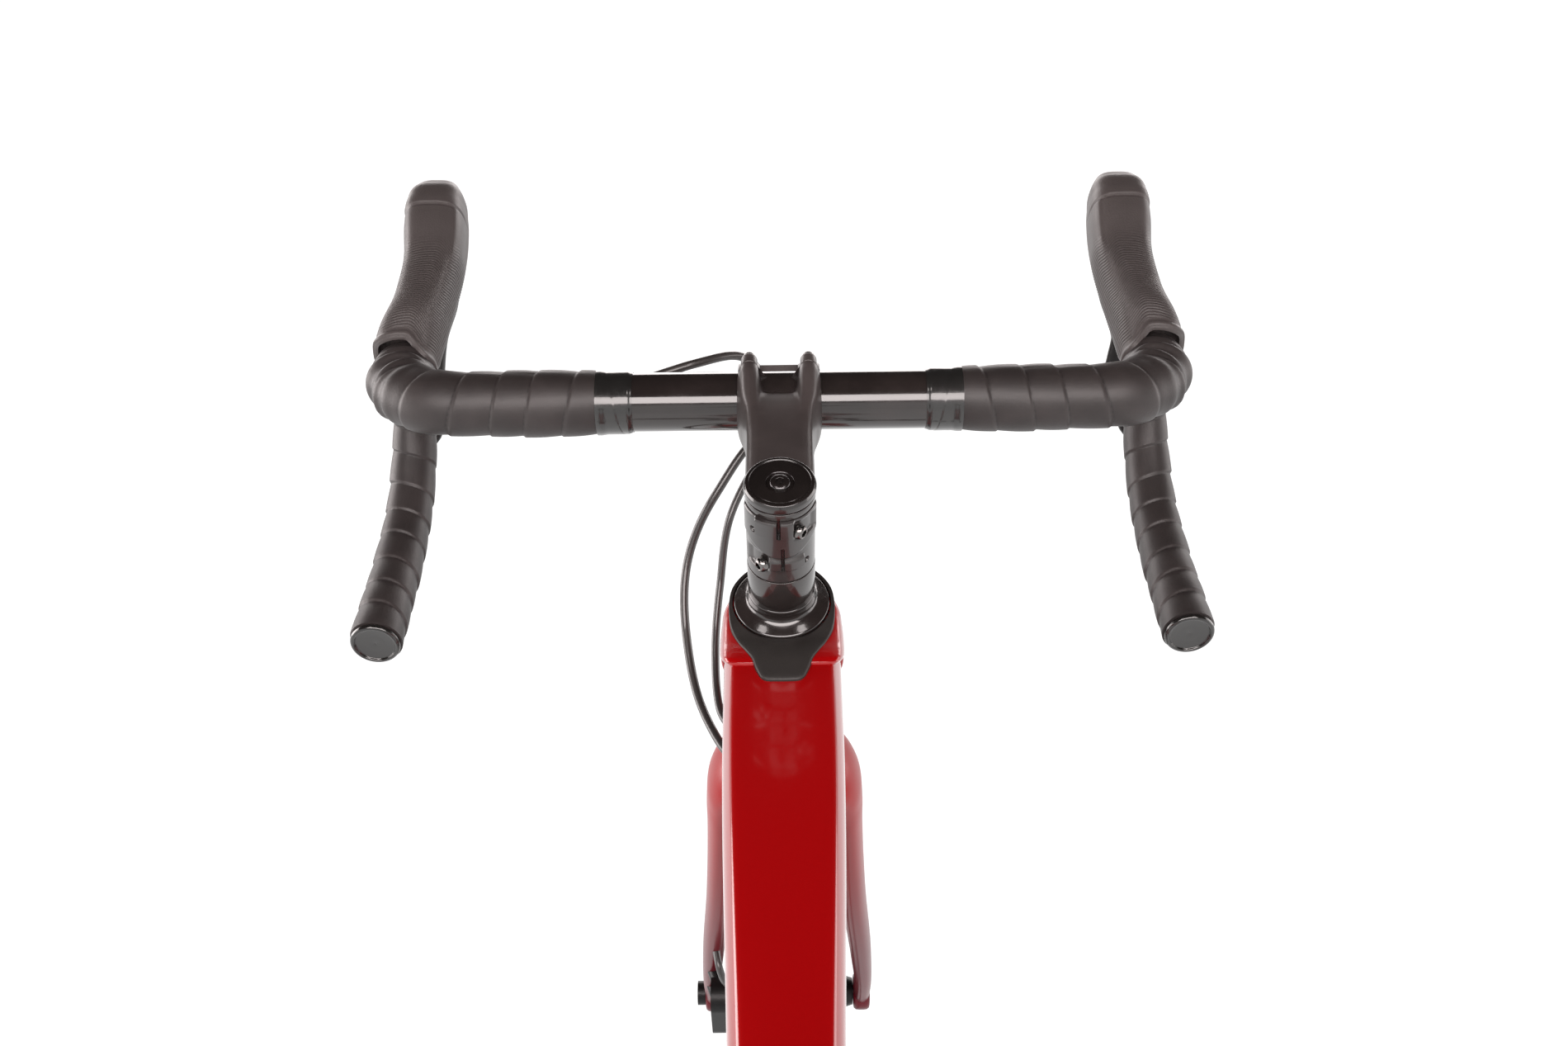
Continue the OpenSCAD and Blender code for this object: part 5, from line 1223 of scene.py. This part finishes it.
class BICYCLE_OT_handlebar(PieceOperator):
    """Bar, wound tape, finishing tape and end plugs"""

    bl_idname = "bicycle.handlebar"
    bl_label = "Handlebar"

    def execute(self, context):
        line = bar_line(1.5)
        _, side, third = bar_axes(line)
        a = turn(96)
        r = (bar_radius(line[:, 0]) - 0.02)[:, None]
        right = sweep(line, side, third, r * np.cos(a), r * np.sin(a))
        whole = np.concatenate([mirrored(right[:0:-1]), right])
        Shell().grid(whole).piece("bar", "bar_gloss", "steering", ("handlebar",), "gloss_black")
        self.tape(line)
        self.finishing()
        self.plugs()
        return {"FINISHED"}

    def tape(self, line):
        """Wound tape: radius over the bar by distance and angle. Each turn climbs by the lip and
        drops at its edge; a slow swell, slack, folds at the bend and a bulge outside it are added."""
        pitch, lip = self.size.tape_pitch / MM, self.size.tape_lip / MM
        climb = 0.93
        line = even(line[line[:, 0] > TAPE_START], 0.75)
        s = travel(line)[:, None]
        _, side, third = bar_axes(line)
        a = turn(96)[None, :]
        k = s / pitch - a / (2 * np.pi) + 0.06 * np.sin(2.1 * s / pitch + 1.3) + 0.35
        f, n = k - np.floor(k), np.floor(k)
        lift = lip * np.where(f < climb, f / climb, 1 - ease(f, climb, 1.0))
        swell = 0.32 * np.sin(np.pi * np.clip(f / climb, 0, 1))
        slack = 0.12 * np.sin(2 * a + 2.4 * n) + 0.09 * np.sin(3 * a - 1.7 * n + s / 9)
        thick = through([0, 3, 84, 120, 134, 148, 165, 184, 234, 274, 315, 384],
                        [0.5, 0.7, 0.8, 1.1, 1.7, 2.5, 1.7, 0.7, 0.7, 1.0, 1.5, 2.1], s)
        bulge = 1.5 * bump(s, 110, 46) * ease(np.sin(a), -0.1, 1.0)
        fold = np.sin(2 * np.pi * s / 10.5 + 0.9 * np.sin(a + 1))
        fold = 1.35 * fold * bump(s, 125, 27) * ease(np.sin(a + 0.6), -0.3, 0.5)
        r = bar_radius(line[:, :1]) + thick + lift + swell + slack + bulge + fold
        points = sweep(line, side, third, r * np.cos(a), r * np.sin(a))
        # Rings on the bar that close the ends
        ends = [0, -1]
        low = bar_radius(line[ends, :1]) + 0.1
        under = sweep(line[ends], side[ends], third[ends], low * np.cos(a), low * np.sin(a))
        rings = np.concatenate([under[:1], points, under[1:]])
        # The mark is each wrap's share f, near 0 at the step's foot, where the tape's finish paints
        # shade
        plain = np.full_like(f[:1], 0.5)
        shell = Shell().pair(rings, ends=False, mark=np.concatenate([plain, f, plain]))
        shell.piece("tape", "tape", "steering", ("bar_tape",), "bar_tape", 70)

    def finishing(self):
        """Finishing tape: a thin layer of vinyl, whose end is a small step that follows a helix."""
        x = np.concatenate([[78.4, 78.4], np.linspace(78.6, 97.6, 60), [97.9, 97.9]])[:, None]
        a = turn(120)[None, :]
        k = (x - 77) / 21 - a / (2 * np.pi) + 0.3
        step = 0.16 * ease(k % 1, 0.0, 0.04) * ease(1 - k % 1, 0, 0.5)
        wrinkle = 0.015 * np.sin(3 * a + x * 0.5) * np.sin(x * 0.9 + a)
        rise = 0.9 * ease(x, 78.2, 81.4) + 0.5 * ease(x, 92, 96.6)
        r = BAR_R + 0.3 + rise + step + wrinkle * ease(x, 79, 82)
        r = np.concatenate([np.full_like(r[:1], BAR_R + 0.05), r[1:-1], r[-1:] - 1.6])
        rings = sweep(BAR + x * RIGHT, UP, FORWARD, r * np.cos(a), r * np.sin(a))
        shell = Shell().pair(rings, ends=False)
        shell.piece("finishing_tape", "vinyl", "steering", slot="plug_plastic")

    def plugs(self):
        """Plugs: a rounded flange over the tape's end round a shallow dish."""
        end, before = bar_line(1.0)[[-1, -4]]
        out = unit(end - before)
        cap = [[0.01, -3], [11.0, -3], [11.4, 0.1], [13.5, 0.2], [14.0, 1.4], [13.6, 2.8], [12.4, 3.6],
               [11.4, 3.3], [10.9, 2.2], [6, 1.9], [0.01, 1.8]]
        shell = Shell().pair(lathe(rounded(cap, 0.6, 6), 96, end, out, RIGHT), loop=True)
        shell.piece("plugs", "plug", "steering", ("bar_plugs",), "plug_plastic", 60)


# Rows of centre, half width, half height and tilt, from the bar's middle
HOOD_ROWS = [[211.6, 38, -2, 19.2, 18.4, 4], [212.4, 47, 0.8, 19.0, 19.0, 6],
             [211.8, 54, 3.2, 18.9, 20.4, 8], [210.6, 66, 8, 18.4, 23.4, 15],
             [207.0, 96, 19, 16.9, 22.4, 24], [205.2, 126, 34, 17.4, 21.5, 30],
             [206.6, 148, 46, 18.3, 24.5, 34], [207.4, 162, 54, 17.4, 24.2, 38],
             [207.2, 172.6, 62, 14.2, 18.6, 44], [206.8, 177.6, 66.3, 8.8, 11.2, 48],
             [206.6, 179.6, 68, 3.6, 4.6, 50]]


class BICYCLE_OT_hoods(PieceOperator):
    """Rubber hoods with a knob, grip ribs and a rolled rim, and the bracket's pivot lugs"""

    bl_idname = "bicycle.hoods"
    bl_label = "Hoods"

    def execute(self, context):
        (points, mark), lugs = self.hood(), self.lugs()
        for name, flip in (("hood_right", np.asarray), ("hood_left", mirrored)):
            shell = Shell().grid(flip(points), mark=mark)
            shell.piece(name + "_skin", "hood", "steering", (name,), "hood_rubber", 60)
            shell = Shell()
            for lug in lugs:
                shell.grid(flip(lug))
            shell.piece(name + "_bracket", "bracket", "steering", (name,), "matte_black")
        return {"FINISHED"}

    def hood(self):
        """Rounded-box rings along the rows. The size grows by a rolled rim, a crease before the knob,
        a sunk panel behind it, and ribs that are a sine of the distance along."""
        rows = np.array(HOOD_ROWS, float)
        keys = travel(rows[:, :3])
        total = keys[-1]
        a = turn(144)[None, :]
        top, inner = np.cos(a), -np.sin(a)
        # Even shares of the length up to the nose, then closer ones as the nose rounds off
        nose = 0.14
        quarter = np.linspace(0, np.pi / 2, 50)[1:]
        w = np.concatenate([np.linspace(0, 1 - nose, 600), 1 - nose * np.cos(quarter)])[:, None]
        rim = (13.0 + 6.5 * (1 - ease(top, 0.1, 1.0)) + 1.5 * ease(-top, 0.2, 1)
               - 12.6 * ease(inner, 0.1, 0.9) * ease(top, -0.7, 0.1))
        along = rim + w * (total - rim)
        x, y, z, wide, high, tilt = np.moveaxis(through(keys, rows, along), -1, 0)
        tilt = np.radians(tilt)
        power = 2.25 + 0.95 * ease(along, 40, 105)
        c = np.sign(np.sin(a)) * np.abs(np.sin(a)) ** (2 / power)
        s = np.sign(top) * np.abs(top) ** (2 / power)
        behind = along - rim
        crease_at = total * 0.797
        angle = np.arctan2(inner, top)
        roll = 0.55 * bump(behind, 1.7, 2.4) - 0.35 * bump(behind, 5.4, 2.2)
        roll = roll - 1.4 * (1 - ease(behind, 0, 1.1))
        knob = -0.1 * ease(along, crease_at, crease_at + 3.4) * ease(top, -0.3, 0.3)
        crease = -0.7 * bump(along, crease_at, 2.2) * ease(top, -0.2, 0.3)
        panel = window(along, crease_at - 62, crease_at - 30, crease_at - 1.5, crease_at + 0.5)
        panel = -0.6 * panel * window(angle, -1.5, -1.1, 0.62, 0.82)
        wave = np.abs(np.sin(np.pi * (behind + 1.6 * np.sin(2 * a)) / (self.size.rib_pitch / MM)))
        band = ease(behind, 5, 9) * (1 - ease(along, crease_at - 46, crease_at - 22))
        weight = 0.5 + 0.5 * ease(np.abs(angle - 0.15), 0.15, 0.7)
        rib_deep = 0.5
        ribs = -rib_deep * (1 - ease(wave, 0.05, 0.8)) * band * weight * ease(top, -0.75, -0.4)
        grow = roll + knob + crease + panel + ribs
        u, v = (wide + grow) * c * (1 - 0.2 * ease(-top, 0.0, 1.0)), (high + grow) * s
        points = np.stack([x + u, y - v * np.sin(tilt), z + v * np.cos(tilt)], -1) + BAR
        # A wall turned in at the rim, down past the tape
        middle = np.stack([x, y, z], -1) + BAR
        rim_in = points[:1] + (middle[:1] - points[:1]) * 0.09
        deep = rim_in + (middle[40:41] - middle[:1]) * 0.8
        # The mark is 1 at the bottom of a rib's groove, where the hood's finish paints shade
        mark = np.clip(-ribs / rib_deep, 0, 1)
        return np.concatenate([deep, rim_in, points]), np.concatenate([mark[:1], mark[:1], mark])

    def lugs(self):
        """Rounded plates on both sides of the lever's pivot, which run up into the hood."""
        lugs = []
        c, s = oval(40, 2.6)
        key = [[159, 52, 8], [162, 38, 9.5], [166, 27, 9.5], [169, 17, 7.5], [170.5, 12, 4]]
        for side in (-9.2, 9.2):
            found = drawn([[HOOD_X + side] + row for row in key], 30)
            thick = np.full((len(found), 1), 1.4)
            lugs.append(sweep(found[:, :3] + BAR, RIGHT, FORWARD, thick * c, found[:, 3:] * s))
        return lugs


class BICYCLE_OT_levers(PieceOperator):
    """Brake levers and the shift paddle"""

    bl_idname = "bicycle.levers"
    bl_label = "Levers"

    def execute(self, context):
        # Rows of centre, half width and half depth, from the bar's middle
        rows = [[HOOD_X, 170, 17, 6.6, 6.0], [HOOD_X, 174, 12, 6.8, 5.2], [211, 178, -8, 6.6, 4.2],
                [219, 176, -32, 5.6, 4.5], [222.5, 166, -60, 5.4, 4.5], [224, 154, -84, 5.4, 4.5],
                [224.4, 150.8, -90.5, 4.6, 3.9], [224.6, 149.2, -94, 2.2, 2]]
        found = drawn(rows, 140)
        line = found[:, :3] + BAR
        _, side, third = facing(line, RIGHT)
        c, s = oval(56, 2.6)
        hollow = 0.45 * (s <= 0) * (1 - np.abs(c))
        blade = sweep(line, side, third, found[:, 3:4] * c, found[:, 4:] * (s + hollow))
        hub = lathe(sleeve(2.4, 6.8, -7.7, 7.7, 0.8), 48, pivot("brake_lever_right"), RIGHT, STEER)
        for name, flip in (("brake_lever_right", np.asarray), ("brake_lever_left", mirrored)):
            shell = Shell().grid(flip(blade)).grid(flip(hub), loop=True)
            shell.piece(name + "_blade", "lever", name, (name,), "gloss_black")
        # The same for the paddle, from its pivot
        rows = [[0, 1, 2, 5, 3], [0.5, 0, -7, 5.2, 2.4], [1, -1, -16, 5.5, 2], [0.6, -3, -27, 7, 2],
                [0, -5, -36, 8, 2], [-1.5, -8, -43.5, 7, 1.8], [-2, -9, -46, 4.5, 1.2]]
        found = drawn(rows, 60)
        line = found[:, :3] + pivot("shift_paddle")
        c, s = oval(40, 2.4)
        ring = sweep(line, RIGHT, FORWARD, found[:, 3:4] * c, found[:, 4:] * s)
        Shell().grid(ring).piece("paddle", "lever", "shift_paddle", ("shift_paddle",), "gloss_black")
        return {"FINISHED"}


# Tyre: radius of the casing's section, a knob's height, from the section's middle to the tread's
# top, and the angle to the bead
CASING_R, KNOB_HIGH, TYRE_HALF, BEAD_ANGLE = 15.0, 1.45, 16.5, 2.55

# Rows of knobs: shift and slant in pitches, a knob's share of the pitch, and the row's edges
KNOB_ROWS = (
    (0.0, 0.05, 0.5, -2, 4.2),
    (0.5, 0.03, 0.46, 6.6, 12.2),
    (0.0, 0.0, 0.6, 15.0, 20.0),
)


class BICYCLE_OT_tyres(PieceOperator):
    """Tyres with a low tread"""

    bl_idname = "bicycle.tyres"
    bl_label = "Tyres"

    def execute(self, context):
        """A ring of sections by the angle round the wheel and the angle round the tyre; the
        radius grows where a knob is and shrinks at the beads."""
        count = int(round(2 * np.pi * WHEEL_R / (self.size.tread_pitch / MM)))
        a = turn(count * 9)[:, None]
        b = np.linspace(-BEAD_ANGLE, BEAD_ANGLE, 58)[None, :]
        arc = np.abs(b) * 15.4
        phase = a * count / (2 * np.pi)
        tread = 0
        for shift, slant, share, low, high in KNOB_ROWS:
            knob = window((phase + shift + arc * slant) % 1, 0.0, 0.12, share, share + 0.12)
            tread = tread + knob * window(arc, low - 0.5, low + 0.5, high - 0.5, high + 0.5)
        r = CASING_R + KNOB_HIGH * tread - 1.2 * ease(np.abs(b), 2.2, 2.5)
        ring = WHEEL_R - TYRE_HALF + r * np.cos(b)
        for name, hub in (("front", FRONT), ("rear", REAR)):
            points = np.stack(np.broadcast_arrays(
                r * np.sin(b) * 1.03, hub[1] + ring * np.sin(a), hub[2] + ring * np.cos(a)), -1)
            shell = Shell().grid(points, loop=True, mark=tread)
            node = name + "_tyre"
            shell.piece(node + "_skin", "tyre", name + "_wheel", (node,), "tyre_rubber", 60)
        return {"FINISHED"}


class BICYCLE_OT_saddle(PieceOperator):
    """Padded saddle with a channel and sewn edges"""

    bl_idname = "bicycle.saddle"
    bl_label = "Saddle"

    def execute(self, context):
        # Rows from nose to tail: share of the length, half width as a share, crown, sink and depth
        rows = np.array([[0, 0.1, 5, 13, 10], [0.02, 0.19, 9, 7, 15], [0.08, 0.25, 12, 3.5, 20],
                         [0.24, 0.28, 13, 1.5, 22], [0.4, 0.32, 13, 1, 23], [0.52, 0.42, 13, 1.2, 24],
                         [0.64, 0.6, 13, 1, 26], [0.76, 0.82, 13, 0, 29], [0.87, 0.98, 13, -1, 31],
                         [0.95, 0.96, 12, -1, 29], [0.99, 0.84, 10, 2, 24], [1, 0.7, 6, 6, 17]], float)
        low, high = (np.array(corner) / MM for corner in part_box("saddle"))
        along = np.interp(np.arange(160), [0, 23, 132, 159], [0, 0.06, 0.93, 1])
        _, half, crown, sink, deep = (v[:, None] for v in through(rows[:, 0], rows, along).T)
        top = high[2] - 1.0 - sink
        half = half * (high[0] - low[0]) / 2 / 0.98
        a = turn(112)[None, :]
        c, s = np.cos(a), np.sin(a)
        x = half * np.sign(c) * np.abs(c) ** 0.8 * np.where(s < 0, 1 + 0.1 * s, 1)
        upper = top - crown * (1 - np.abs(s) ** 0.9)
        under = top - crown - (deep - crown) * np.abs(s) ** 0.5
        channel = 4.5 * np.exp(-((x / 9) ** 2)) * window(along, 0.16, 0.3, 0.9, 0.98)[:, None]
        z = np.where(s > 0, upper - channel, under)
        y = np.broadcast_to(high[1] - (high[1] - low[1]) * along[:, None], z.shape)
        seam = bump(np.abs(x), half * 0.86, 1.2) * (s > 0)
        shell = Shell().grid(np.stack([x, y, z - 0.5 * seam], -1), mark=seam * 0.9)
        made = shell.piece("saddle_pad", "saddle", "seat", ("saddle",), "saddle_cover", 60)
        return {"FINISHED"}


# CAD solids that stay, by their finish
KEPT = {
    "frame_red": ("seat_tube", "derailleur_hanger"),
    "alloy_black": ("seat_clamp", "rear_caliper", "front_caliper", "derailleur_knuckle",
                    "derailleur_link", "derailleur_cage", "front_rim", "rear_rim", "front_hub",
                    "rear_hub", "crank_right", "crank_left", "pedal_left", "pedal_right",
                    "rear_axle", "front_axle"),
    "steel": ("chain", "cassette", "front_rotor", "rear_rotor", "saddle_rails", "headset_bearings",
              "crank_bearings"),
    "dark_steel": ("front_spokes", "rear_spokes"),
    "alloy_grey": ("chainring", "saddle_clamp"),
    "bar_gloss": ("seatpost",),
    "plug": ("guide_pulley", "tension_pulley"),
}


class BICYCLE_OT_solids(PieceOperator):
    """Finishes on the CAD solids that stay"""

    bl_idname = "bicycle.solids"
    bl_label = "Machined parts"

    def execute(self, context):
        for paint, nodes in KEPT.items():
            for node in nodes:
                mesh = frame["nodes"][node].data
                mesh.materials.clear()
                mesh.materials.append(PAINTS[paint])
        return {"FINISHED"}


STEPS = (BICYCLE_OT_stage, BICYCLE_OT_hoses, BICYCLE_OT_main_tubes, BICYCLE_OT_stays, BICYCLE_OT_fork,
         BICYCLE_OT_headset, BICYCLE_OT_stem, BICYCLE_OT_handlebar, BICYCLE_OT_hoods, BICYCLE_OT_levers,
         BICYCLE_OT_tyres, BICYCLE_OT_saddle, BICYCLE_OT_solids)


class BICYCLE_PT_pieces(bpy.types.Panel):
    """The bicycle's pieces, sizes and colours"""

    bl_idname = "BICYCLE_PT_pieces"
    bl_label = "Bicycle"
    bl_space_type = "VIEW_3D"
    bl_region_type = "UI"
    bl_category = "Bicycle"

    def draw(self, context):
        for step in STEPS:
            self.layout.operator(step.bl_idname)
        for group in (context.scene.bicycle_sizes, context.scene.bicycle_finish):
            for name in group.__annotations__:
                self.layout.prop(group, name)


CLASSES = (BicycleFinish, BicycleSizes) + STEPS + (BICYCLE_PT_pieces,)


def register():
    for cls in CLASSES:
        bpy.utils.register_class(cls)
    bpy.types.Scene.bicycle_finish = bpy.props.PointerProperty(type=BicycleFinish)
    bpy.types.Scene.bicycle_sizes = bpy.props.PointerProperty(type=BicycleSizes)


def unregister():
    del bpy.types.Scene.bicycle_finish
    del bpy.types.Scene.bicycle_sizes
    for cls in reversed(CLASSES):
        bpy.utils.unregister_class(cls)


def main():
    """Builds every piece in order."""
    register()
    for step in STEPS:
        group, name = step.bl_idname.split(".")
        getattr(getattr(bpy.ops, group), name)()


if __name__ == "__main__":
    main()
